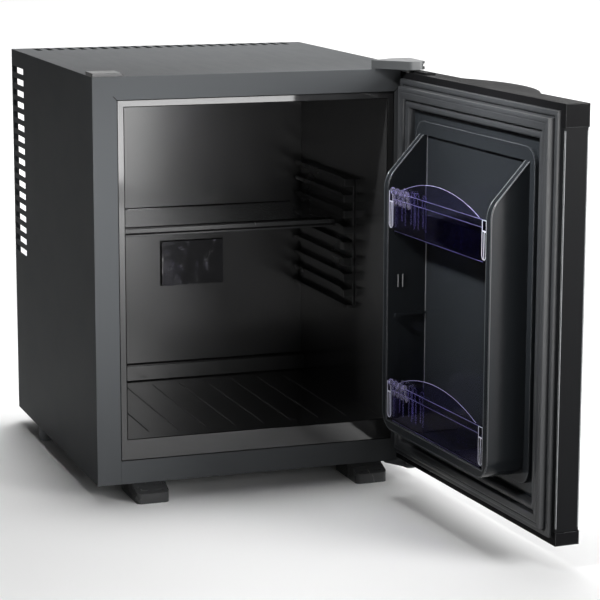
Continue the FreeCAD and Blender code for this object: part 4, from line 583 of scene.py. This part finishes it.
def close_tree(tree, geometry, out, coat):
    """Ends a tree: real geometry with its finish."""
    real = add_node(tree, "GeometryNodeRealizeInstances")
    paint = add_node(tree, "GeometryNodeSetMaterial", {"Material": COAT[coat]})
    wire(tree, geometry, real.inputs[0])
    wire(tree, real.outputs[0], paint.inputs["Geometry"])
    wire(tree, paint.outputs[0], out.inputs[0])


print("tree helpers", [step.__name__ for step in (growing_tree, sweep_rod, set_row, close_tree)])

# %% [markdown]
# ### From a tree to a mesh
# A tree runs as a modifier on a seed: loose points, a chain of edges that stands for a path, or nothing. Its
# inputs are set by identifier, the result is copied as a plain mesh, and the seed is thrown away.

# %% Growing


def grow(tree, points=(), edges=(), **sizes):
    """Runs a tree on loose points or edges and gives back a plain mesh."""
    seed_mesh = bpy.data.meshes.new("seed")
    seed_mesh.from_pydata(points, edges, [])
    seed = bpy.data.objects.new("seed", seed_mesh)
    scene.collection.objects.link(seed)
    modifier = seed.modifiers.new(tree.name, "NODES")
    modifier.node_group = tree
    for item in tree.interface.items_tree:
        if item.in_out == "INPUT" and item.name in sizes:
            modifier[item.identifier] = sizes[item.name]
    mesh = bpy.data.meshes.new_from_object(seed.evaluated_get(bpy.context.evaluated_depsgraph_get()))
    seed.modifiers.clear()
    bpy.data.objects.remove(seed)
    bpy.data.meshes.remove(seed_mesh)
    return mesh


def chain(*runs):
    """Points and edges of several open runs, given in millimetres."""
    points, edges = [], []
    for run in runs:
        edges += [(len(points) + i, len(points) + i + 1) for i in range(len(run) - 1)]
        points += [tuple(v * MM for v in point) for point in run]
    return points, edges


print("a chain of three points has the edges", chain([(0, 0, 0), (1, 0, 0), (2, 0, 0)])[1])

# %% [markdown]
# ## Beads along an edge
# The clear bins are seen mostly by their bright edges, where light that runs inside the sheet comes out. A
# thin bead in a pale violet colour along the arch, the band's two edges and the foot paints those lines of
# light. It is a circle swept along the edge's own points, and the same tree later draws the painted
# highlights on the door's ridges and the painted shadow seams.

# %% Edge beads
BIN_SIDE, BIN_FRONT, BIN_HEIGHT, BIN_END = 123.5, 59.0, 47.0, 11.0
BIN_LOW = {"upper_bin": 323.3, "lower_bin": 97.3}
ARCH_RISE, ARCH_HALF, ARCH_SINK, ARCH_STEPS = 19.0, 101.5, 0.6, 32
BAND_PROUD, BAND_TOP, BAND_FOOT, FOOT_SINK, FOOT_RISE = 1.7, 0.3, 8.7, 0.4, 0.5


def bead_tree():
    tree, inside, out = growing_tree("edge_bead", {"Radius": 0.0006, "Sides": 8})
    line = add_node(tree, "GeometryNodeMeshToCurve")
    wire(tree, inside.outputs["Geometry"], line.inputs[0])
    close_tree(tree, sweep_rod(tree, inside, line.outputs[0]), out, "painted_glow_violet_edge")
    return tree


BEAD = bead_tree()


def beads(name, runs, body, coat, radius, swing=False):
    """Sweeps one bead along each run of points, all in millimetres."""
    return new_piece(name, grow(BEAD, *chain(*runs), Radius=radius * MM), body, coat, swing)


def bin_edges(low):
    """The arch, the band's two edges and the foot of a bin."""
    rim = low + BIN_HEIGHT
    radius = (ARCH_HALF ** 2 + ARCH_RISE ** 2) / (2 * ARCH_RISE)
    arch = []
    for step in range(ARCH_STEPS + 1):
        across = ARCH_HALF * (2 * step / ARCH_STEPS - 1)
        height = rim + ARCH_RISE - radius + math.sqrt(radius ** 2 - across ** 2)
        arch.append((DOOR_MIDDLE + across, BIN_FRONT - ARCH_SINK, height))
    ends = [DOOR_MIDDLE + side * (BIN_SIDE - BIN_END) for side in (-1, 1)]
    levels = [(BAND_PROUD, rim - BAND_TOP), (BAND_PROUD, rim - BAND_FOOT), (-FOOT_SINK, low + FOOT_RISE)]
    return [arch] + [[(x, BIN_FRONT + proud, z) for x in ends] for proud, z in levels]


for name, low in BIN_LOW.items():
    runs = bin_edges(low)
    beads(f"{name}_edge_beads", runs, name, "painted_glow_violet_edge", radius=0.32, swing=True)
print("bead runs on each bin", len(runs))

# %% [markdown]
# ## Bin ends
# Each end of a bin is a hollow clear block: a small box at the band and a long pocket with a round foot below
# it. Clear plastic shows only its outlines as bright lines, so beads in a pale colour follow them and paint
# that light. Near the hinge end four looped ribs stand on the inner face of the front sheet and keep a bottle
# from sliding. Each goes up the sheet, round a half circle and down again, at its own distance from the end
# and with its own half width.

# %% Bin ends
END_NEAR, END_FAR, END_PROUD = 0.8, 10.2, 1.8
BOX_TOP, BOX_FOOT, POCKET_GAP, POCKET_WALL, POCKET_FOOT = 0.6, 12.0, 0.9, 8.0, 4.0
SHOULDER_IN, SHOULDER_UP, POCKET_FOOT_HALF, POCKET_RIB = 1.2, 5.4, 1.6, 5.0
FINGER_SINK, FINGER_RISE, FINGER_LEFT_FOOT, FINGER_RIGHT_FOOT = 2.5, 1.0, 10.0, 14.0
FINGER_PLACES = ((33, 4.5), (57, 4), (68, 4), (88, 3.5))
ARC_STEPS = 8


def end_block(left, right, low):
    """Outlines of the small box, the pocket under it and the pocket's middle rib."""
    face, rim, middle = BIN_FRONT + END_PROUD, low + BIN_HEIGHT, (left + right) / 2
    high, step = rim - BOX_TOP, rim - BOX_FOOT
    top = step - POCKET_GAP
    box = [(left, high), (right, high), (right, step), (left, step), (left, high)]
    half = [(left, top), (left, low + POCKET_WALL), (left + SHOULDER_IN, low + SHOULDER_UP),
            (middle - POCKET_FOOT_HALF, low + POCKET_FOOT)]
    pocket = half + [(left + right - x, z) for x, z in reversed(half)] + half[:1]
    rib = [(middle, top), (middle, low + POCKET_RIB)]
    return [[(x, face, z) for x, z in line] for line in (box, pocket, rib)]


def finger(middle, low, half):
    """An upturned loop on the sheet's inner face."""
    depth, top = BIN_FRONT - FINGER_SINK, low + BIN_HEIGHT + FINGER_RISE
    loop = [(middle - half, depth, low + FINGER_LEFT_FOOT), (middle - half, depth, top)]
    for step in range(1, ARC_STEPS):
        angle = math.pi * (1 - step / ARC_STEPS)
        loop.append((middle + half * math.cos(angle), depth, top + half * math.sin(angle)))
    return loop + [(middle + half, depth, top), (middle + half, depth, low + FINGER_RIGHT_FOOT)]


for name, low in BIN_LOW.items():
    free, hinge = DOOR_MIDDLE - BIN_SIDE, DOOR_MIDDLE + BIN_SIDE
    ends = end_block(free + END_NEAR, free + END_FAR, low) + end_block(hinge - END_FAR, hinge - END_NEAR, low)
    beads(f"{name}_end_outlines", ends, name, "painted_glow_clear_edge", radius=0.55, swing=True)
    fingers = [finger(hinge - inset, low, half) for inset, half in FINGER_PLACES]
    beads(f"{name}_fingers", fingers, name, "clear_violet_clip", radius=0.8, swing=True)
print("outlines on each bin", len(ends), "fingers", len(fingers))

# %% [markdown]
# ## Bottle clips
# Small clear clips hang on the hinge end of each bin and keep single bottles upright. One clip is a bent rod:
# up the band, over it and into a forward curl. The tree sweeps it once and repeats it along the band. The
# bend is written as steps out from the sheet and up from the rim.

# %% Bottle clips
CLIP_INSET, CLIP_COUNT = 17.0, 4
CLIP_BEND = ((1, -15), (2, -12), (3, -9), (3, 0), (3.4, 3.6), (6.4, 4.6), (7.4, 1), (5.4, -1.4))


def clip_tree():
    tree, inside, out = growing_tree("bottle_clips", {
        "Radius": 0.0019, "Sides": 10, "Points": 40, "Count": CLIP_COUNT, "Pitch": -0.012,
    })
    line = add_node(tree, "GeometryNodeMeshToCurve")
    bend = add_node(tree, "GeometryNodeCurveSplineType", spline_type="NURBS")
    fine = add_node(tree, "GeometryNodeResampleCurve")
    wire(tree, inside.outputs["Geometry"], line.inputs[0])
    wire(tree, line.outputs[0], bend.inputs[0])
    wire(tree, bend.outputs[0], fine.inputs[0])
    wire(tree, inside.outputs["Points"], fine.inputs["Count"])
    rod = sweep_rod(tree, inside, fine.outputs[0])
    _, copies = set_row(tree, inside, rod)
    close_tree(tree, copies, out, "clear_violet_clip")
    return tree


CLIPS = clip_tree()
for name, low in BIN_LOW.items():
    clip_x, rim = DOOR_MIDDLE + BIN_SIDE - CLIP_INSET, low + BIN_HEIGHT
    clips = grow(CLIPS, *chain([(clip_x, BIN_FRONT + out, rim + up) for out, up in CLIP_BEND]))
    new_piece(f"{name}_clips", clips, name, "clear_violet_clip", swing=True)
print("clips on each bin", CLIP_COUNT)

# %% [markdown]
# ## Painted highlights on the door's ridges
# The door's inner side is formed over a tool with sharp crests, and every crest carries a crisp line of
# light. The crests are known curves: down the slope, round the bend, down the wall, round the corner and
# along the foot. A bead sunk into each crest, in a colour far paler than the liner, paints that line of
# light as a painted highlight, even where the solid's own edge is too thin to show.

# %% Door ridges
TUB_SIDE, TUB_LOW, TUB_CORNER, TUB_FACE = 135.5, 86.0, 24.0, 62.0
SLOPE_TOP, SLOPE_FOOT, PANEL_FACE, BEND = 433.0, 384.0, 17.0, 30.0
RECESS_SIDE, RECESS_LOW, RECESS_CORNER, RECESS_FACE = 124.5, 97.0, 1.0, 12.0
CREST_SINK, CREST_START = 0.9, 0.6


def crest(side, low, corner, face):
    """One line round the tub: down one wall, along the foot and up the other wall."""
    tilt = math.atan2(TUB_FACE - PANEL_FACE, SLOPE_TOP - SLOPE_FOOT)
    bend_z = SLOPE_FOOT - BEND * math.tan(tilt / 2)
    wall = [(side, PANEL_FACE, SLOPE_TOP - CREST_START)]
    for step in range(ARC_STEPS + 1):
        angle = tilt * (1 - step / ARC_STEPS)
        wall.append((side, face - BEND * (1 - math.cos(angle)), bend_z + BEND * math.sin(angle)))
    for step in range(ARC_STEPS + 1):
        angle = math.pi / 2 * step / ARC_STEPS
        wall.append((side - corner * (1 - math.cos(angle)), face, low + corner * (1 - math.sin(angle))))
    line = wall + [(-x, y, z) for x, y, z in reversed(wall)]
    return [(DOOR_MIDDLE + x, y, z) for x, y, z in line]


crest_face = TUB_FACE - CREST_SINK
ridge_lines = [
    crest(TUB_SIDE - CREST_SINK, TUB_LOW + CREST_SINK, TUB_CORNER - CREST_SINK, crest_face),
    crest(RECESS_SIDE + CREST_SINK, RECESS_LOW - CREST_SINK, RECESS_CORNER + CREST_SINK, crest_face),
]
beads("door_ridges", ridge_lines, "door", "painted_highlight_ridge", radius=1.05, swing=True)
print("ridge lines", len(ridge_lines))

# %% [markdown]
# ### Panel edge and wall ribs
# The flat panel round the tub has a rounded outline, drawn by four quarter circles, and the recess has two
# upright edges; beads in the pale ridge colour paint a highlight along them. Two short upright ribs stand on
# the hinge side's inner wall, between the bins, and their pale colour paints the light on their edges.

# %% Panel edge
PANEL_SIDE, PANEL_LOW, PANEL_HIGH, PANEL_CORNER, PANEL_SINK = 146.5, 79.0, 449.0, 20.0, 0.7
RECESS_SINK, RECESS_INSET = 0.2, 1.0
WALL_RIB_SINK, WALL_RIB_LEVELS, WALL_RIB_DEPTHS = 0.3, (255, 270), (42, 48)


def panel_outline(inset):
    side, low, high = PANEL_SIDE - inset, PANEL_LOW + inset, PANEL_HIGH - inset
    corner, depth = PANEL_CORNER - inset, PANEL_FACE - inset
    line = []
    for quarter, (across, up) in enumerate(((1, 1), (-1, 1), (-1, -1), (1, -1))):
        centre_x = DOOR_MIDDLE + across * (side - corner)
        centre_z = (high - corner) if up > 0 else (low + corner)
        for step in range(ARC_STEPS + 1):
            angle = math.pi / 2 * (quarter + step / ARC_STEPS)
            line.append((centre_x + corner * math.cos(angle), depth, centre_z + corner * math.sin(angle)))
    return line + line[:1]


panel_lines = [panel_outline(PANEL_SINK)]
for side in (-1, 1):
    recess_x = DOOR_MIDDLE + side * (RECESS_SIDE - RECESS_SINK)
    levels = (RECESS_LOW + RECESS_INSET, SLOPE_TOP - RECESS_INSET)
    panel_lines.append([(recess_x, RECESS_FACE + RECESS_SINK, z) for z in levels])
beads("door_panel_edge", panel_lines, "door", "painted_highlight_ridge", radius=0.8, swing=True)
wall_x = DOOR_MIDDLE + RECESS_SIDE - WALL_RIB_SINK
wall_ribs = [[(wall_x, depth, z) for z in WALL_RIB_LEVELS] for depth in WALL_RIB_DEPTHS]
beads("door_wall_ribs", wall_ribs, "door", "painted_highlight_edge", radius=0.8, swing=True)
print("panel lines", len(panel_lines), "wall ribs", len(wall_ribs))

# %% [markdown]
# ## Painted highlights on the door's rolled edges
# The door's sheet is folded round its free end, and the two folds catch the front light as thin upright
# lines; beads in a pale colour paint that light as a painted highlight. The moulded caps above and below get
# the same painted highlight round their end faces.

# %% Rolled edges
SKIN_LOW, SKIN_HIGH, FOLD_SINK = 46.0, 472.0, 0.9
LOW_CAP, HIGH_CAP, CAP_PROUD, CAP_INSET = 15.0, 25.0, 0.8, 0.6
fold_sides = (DOOR_OUTSIDE + FOLD_SINK, DOOR_INSIDE - FOLD_SINK)
folds = [[(FREE_END + FOLD_SINK, side, z) for z in (SKIN_LOW, SKIN_HIGH)] for side in fold_sides]
beads("door_end_folds", folds, "door", "painted_highlight_edge", radius=1.1, swing=True)
cap_x = FREE_END - CAP_PROUD + CAP_INSET
near, far = DOOR_INSIDE - CAP_INSET, DOOR_OUTSIDE - CAP_PROUD + CAP_INSET
cap_ends = []
for cap_low, cap_high in ((DOOR_LOW, DOOR_LOW + LOW_CAP), (DOOR_HIGH - HIGH_CAP, DOOR_HIGH)):
    low, high = cap_low + CAP_INSET, cap_high - CAP_INSET
    outline = [(far, low), (near, low), (near, high), (far, high), (far, low)]
    cap_ends.append([(cap_x, y, z) for y, z in outline])
beads("door_cap_edges", cap_ends, "door", "painted_highlight_edge", radius=0.62, swing=True)
print("folds", len(folds), "cap outlines", len(cap_ends))

# %% [markdown]
# ## Painted shadow seams
# Where two parts meet there is a narrow gap that no light leaves: round the front frame and at its upper
# corners, round the lens, along the rear ledge, and at the front and rear edges of the glass shelf. A thin
# matte black bead laid in each gap paints that shade. Straight seams are given as pairs of depth and height.

# %% Dark seams
MITRE_DEPTH, MITRE_PLACES = -211.95, ((170.8, 474.8), (175.5, 479.5))
LEDGE_HALF, LEDGE_PLACES = 162.6, ((97.0, 93.3), (83.2, 73.4))
SHELF_HALF, SHELF_PLACES = 147.0, ((95.8, 300.0), (-61.9, 301.2), (-74.2, 295.6))


def upright_frame(left, right, low, high, depth):
    corners = ((left, low), (right, low), (right, high), (left, high), (left, low))
    return [(x, depth, z) for x, z in corners]


def cross_lines(half, places):
    return [[(-half, depth, z), (half, depth, z)] for depth, z in places]


def lay_seams(name, lines, body, radius):
    beads(name, lines, body, "shadow_seam", radius)
    print(name, len(lines))


frame_lines = [
    upright_frame(left=-170.5, right=170.5, low=48.5, high=474.5, depth=-211.8),
    upright_frame(left=-162.8, right=162.8, low=73.2, high=466.8, depth=-211.2),
]
frame_lines += [[(side * x, MITRE_DEPTH, z) for x, z in MITRE_PLACES] for side in (-1, 1)]
lens_line = upright_frame(left=-32.5, right=52.5, low=196.5, high=255.5, depth=96.9)
lay_seams("frame_seams", frame_lines, "cabinet", radius=0.7)
lay_seams("ledge_seams", cross_lines(LEDGE_HALF, LEDGE_PLACES), "cabinet", radius=1.1)
lay_seams("lens_seam", [lens_line], "cabinet", radius=0.7)
lay_seams("shelf_seams", cross_lines(SHELF_HALF, SHELF_PLACES), "shelf", radius=1.3)

# %% [markdown]
# ## Thermostat marks
# The knob turns through three quarters of a circle, so a real one carries a pale pointer, and short ticks
# round it show the steps. They are raised bars: the pointer rides on the knob, and the ticks stay on the box.
# The knob's middle and its turn come from the joint.

# %% Thermostat marks
KNOB = JOINTS["thermostat_turn"]
KNOB_X, KNOB_Z = KNOB["pos_m"][0] / MM, KNOB["pos_m"][2] / MM
KNOB_FACE, BOX_FACE, POINTER_SINK = 208.8, 196.5, 0.2
POINTER_REACH, TICK_REACH, TICK_COUNT = (3, 11), (15.2, 17.8), 7
pointer = [(KNOB_X, KNOB_FACE - POINTER_SINK, KNOB_Z + reach) for reach in POINTER_REACH]
beads("thermostat_pointer", [pointer], "thermostat_knob", "pale_mark", radius=0.6)
ticks = []
for step in range(TICK_COUNT):
    angle = math.radians(KNOB["range_deg"][1] * (2 * step / (TICK_COUNT - 1) - 1))
    across, up = math.sin(angle), math.cos(angle)
    ticks.append([(KNOB_X + reach * across, BOX_FACE, KNOB_Z + reach * up) for reach in TICK_REACH])
beads("thermostat_ticks", ticks, "cabinet", "pale_mark", radius=0.4)
print("pointer and ticks", 1 + len(ticks))

# %% [markdown]
# ## Condenser fins
# Each fin is a thin square plate pressed onto the tube, with a drawn collar round the hole. A square and a
# circle filled together give the plate with its hole, an extrusion gives its thickness, and a line of points
# repeats it.

# %% Condenser fins
FIN_WELD, FIN_CORNER_STEPS, COLLAR_SIDES = 1e-6, 4, 6


def fin_plate(tree, inside):
    """A square plate with round corners, a hole and a real thickness."""
    square = add_node(tree, "GeometryNodeCurvePrimitiveQuadrilateral")
    rounded = add_node(tree, "GeometryNodeFilletCurve", {"Count": FIN_CORNER_STEPS}, mode="POLY")
    hole = add_node(tree, "GeometryNodeCurvePrimitiveCircle")
    outlines = add_node(tree, "GeometryNodeJoinGeometry")
    sheet = add_node(tree, "GeometryNodeFillCurve")
    flip = add_node(tree, "GeometryNodeFlipFaces")
    raised = add_node(tree, "GeometryNodeExtrudeMesh", {"Individual": False})
    closed = add_node(tree, "GeometryNodeJoinGeometry")
    weld = add_node(tree, "GeometryNodeMergeByDistance", {"Distance": FIN_WELD})
    for side in ("Width", "Height"):
        wire(tree, inside.outputs["Size"], square.inputs[side])
    wire(tree, square.outputs[0], rounded.inputs["Curve"])
    wire(tree, inside.outputs["Corner"], rounded.inputs["Radius"])
    wire(tree, inside.outputs["Tube Radius"], hole.inputs["Radius"])
    wire(tree, rounded.outputs[0], outlines.inputs[0])
    wire(tree, hole.outputs[0], outlines.inputs[0])
    wire(tree, outlines.outputs[0], sheet.inputs["Curve"])
    wire(tree, sheet.outputs[0], raised.inputs["Mesh"])
    wire(tree, inside.outputs["Thickness"], raised.inputs["Offset Scale"])
    wire(tree, sheet.outputs[0], flip.inputs[0])
    wire(tree, raised.outputs["Mesh"], closed.inputs[0])
    wire(tree, flip.outputs[0], closed.inputs[0])
    wire(tree, closed.outputs[0], weld.inputs[0])
    return weld.outputs[0]


def fin_tree():
    tree, inside, out = growing_tree("tube_fins", {
        "Size": 0.044, "Corner": 0.003, "Thickness": 0.0008, "Tube Radius": 0.0081, "Collar Radius": 0.0011,
        "Count": 14, "Pitch": 0.014, "Start": -0.096, "Depth": 0.1643, "Height": 0.445,
    })
    plate = fin_plate(tree, inside)
    collar_line = add_node(tree, "GeometryNodeCurvePrimitiveCircle")
    collar_ring = add_node(tree, "GeometryNodeCurvePrimitiveCircle", {"Resolution": COLLAR_SIDES})
    collar = add_node(tree, "GeometryNodeCurveToMesh")
    whole = add_node(tree, "GeometryNodeJoinGeometry")
    turned = add_node(tree, "GeometryNodeTransform", {"Rotation": (0, math.pi / 2, 0)})
    start = add_node(tree, "ShaderNodeCombineXYZ")
    wire(tree, inside.outputs["Tube Radius"], collar_line.inputs["Radius"])
    wire(tree, inside.outputs["Collar Radius"], collar_ring.inputs["Radius"])
    wire(tree, collar_line.outputs[0], collar.inputs["Curve"])
    wire(tree, collar_ring.outputs[0], collar.inputs["Profile Curve"])
    wire(tree, plate, whole.inputs[0])
    wire(tree, collar.outputs[0], whole.inputs[0])
    wire(tree, whole.outputs[0], turned.inputs["Geometry"])
    for label, axis in (("Start", "X"), ("Depth", "Y"), ("Height", "Z")):
        wire(tree, inside.outputs[label], start.inputs[axis])
    line, copies = set_row(tree, inside, turned.outputs[0])
    wire(tree, start.outputs[0], line.inputs["Start Location"])
    close_tree(tree, copies, out, "unit_black")
    return tree


fins = new_piece("finned_plates", grow(fin_tree()), "cabinet", "unit_black")
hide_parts("condenser_fins")
print("fin faces", len(fins.data.polygons))

# %% [markdown]
# ## Screw heads
# Eight pan-head screws hold the saddles on the back plate. A flattened ball with a cross cut out of it by a
# boolean is a good pan head, and the tree sets one on each of the eight places: above and below the vessel's
# saddles, and left and right of the boiler's.

# %% Screw heads
HEAD_SEGMENTS, HEAD_RINGS, HEAD_TURN = 28, 14, 0.5
FLANGE_FACE, SCREW_REACH = 132.3, (-28, 28)
VESSEL_SADDLES_X, VESSEL_Z, BOILER_X, BOILER_SADDLES_Z = (-110, 30), 75, 135, (165, 255)


def cross_bar(tree, inside, long_axis, short_axis):
    """One bar of the cross, lifted to the top of the head."""
    size = add_node(tree, "ShaderNodeCombineXYZ")
    lift = add_node(tree, "ShaderNodeCombineXYZ")
    bar = add_node(tree, "GeometryNodeMeshCube")
    raised = add_node(tree, "GeometryNodeTransform")
    for label, axis in (("Cross Length", long_axis), ("Slot", short_axis), ("Cross Depth", "Z")):
        wire(tree, inside.outputs[label], size.inputs[axis])
    wire(tree, size.outputs[0], bar.inputs["Size"])
    wire(tree, inside.outputs["Height"], lift.inputs["Z"])
    wire(tree, bar.outputs[0], raised.inputs["Geometry"])
    wire(tree, lift.outputs[0], raised.inputs["Translation"])
    return raised.outputs[0]


def screw_tree():
    tree, inside, out = growing_tree("pan_heads", {
        "Radius": 0.0045, "Height": 0.0012, "Slot": 0.0009, "Cross Length": 0.0046, "Cross Depth": 0.0012,
    })
    ball = add_node(tree, "GeometryNodeMeshUVSphere", {"Segments": HEAD_SEGMENTS, "Rings": HEAD_RINGS})
    ratio = add_node(tree, "ShaderNodeMath", operation="DIVIDE")
    squeeze = add_node(tree, "ShaderNodeCombineXYZ", {"X": 1, "Y": 1})
    press = add_node(tree, "GeometryNodeTransform")
    cross = add_node(tree, "GeometryNodeMeshBoolean", operation="DIFFERENCE")
    turned = add_node(tree, "GeometryNodeTransform", {"Rotation": (-math.pi / 2, 0, HEAD_TURN)})
    place = add_node(tree, "GeometryNodeInstanceOnPoints")
    wire(tree, inside.outputs["Radius"], ball.inputs["Radius"])
    wire(tree, inside.outputs["Height"], ratio.inputs[0])
    wire(tree, inside.outputs["Radius"], ratio.inputs[1])
    wire(tree, ratio.outputs[0], squeeze.inputs["Z"])
    wire(tree, squeeze.outputs[0], press.inputs["Scale"])
    wire(tree, ball.outputs[0], press.inputs["Geometry"])
    wire(tree, press.outputs[0], cross.inputs["Mesh 1"])
    for long_axis, short_axis in (("X", "Y"), ("Y", "X")):
        wire(tree, cross_bar(tree, inside, long_axis, short_axis), cross.inputs["Mesh 2"])
    wire(tree, cross.outputs[0], turned.inputs["Geometry"])
    wire(tree, inside.outputs["Geometry"], place.inputs["Points"])
    wire(tree, turned.outputs[0], place.inputs["Instance"])
    close_tree(tree, place.outputs[0], out, "zinc_steel")
    return tree


screw_places = [(x, FLANGE_FACE, VESSEL_Z + reach) for x in VESSEL_SADDLES_X for reach in SCREW_REACH]
screw_places += [(BOILER_X + reach, FLANGE_FACE, z) for z in BOILER_SADDLES_Z for reach in SCREW_REACH]
heads = grow(screw_tree(), [tuple(v * MM for v in place) for place in screw_places])
screws = new_piece("saddle_screw_heads", heads, "cabinet", "zinc_steel")
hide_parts("unit_screws")
print("screw heads", len(screw_places))

# %% [markdown]
# ## Inlet pins
# The three contacts of the power inlet are tinned pins with narrowed tips. A tapered cone is set on a row of
# three points, just over the plain pins of the solid.

# %% Inlet pins
FIRST_PIN, PIN_SIDES = (0.1587, 0.1792, 0.0488), 16


def pin_tree():
    tree, inside, out = growing_tree("inlet_pins", {
        "Radius": 0.0018, "Tip Radius": 0.0017, "Length": 0.0155, "Count": 3, "Pitch": 0.007,
    })
    pin = add_node(tree, "GeometryNodeMeshCone", {"Vertices": PIN_SIDES})
    turned = add_node(tree, "GeometryNodeTransform", {"Rotation": (-math.pi / 2, 0, 0)})
    wire(tree, inside.outputs["Tip Radius"], pin.inputs["Radius Top"])
    wire(tree, inside.outputs["Radius"], pin.inputs["Radius Bottom"])
    wire(tree, inside.outputs["Length"], pin.inputs["Depth"])
    wire(tree, pin.outputs[0], turned.inputs["Geometry"])
    line, copies = set_row(tree, inside, turned.outputs[0])
    line.inputs["Start Location"].default_value = FIRST_PIN
    close_tree(tree, copies, out, "tinned_contact")
    return tree


pins = new_piece("inlet_pins", grow(pin_tree()), "cabinet", "tinned_contact")
print("inlet pin faces", len(pins.data.polygons))
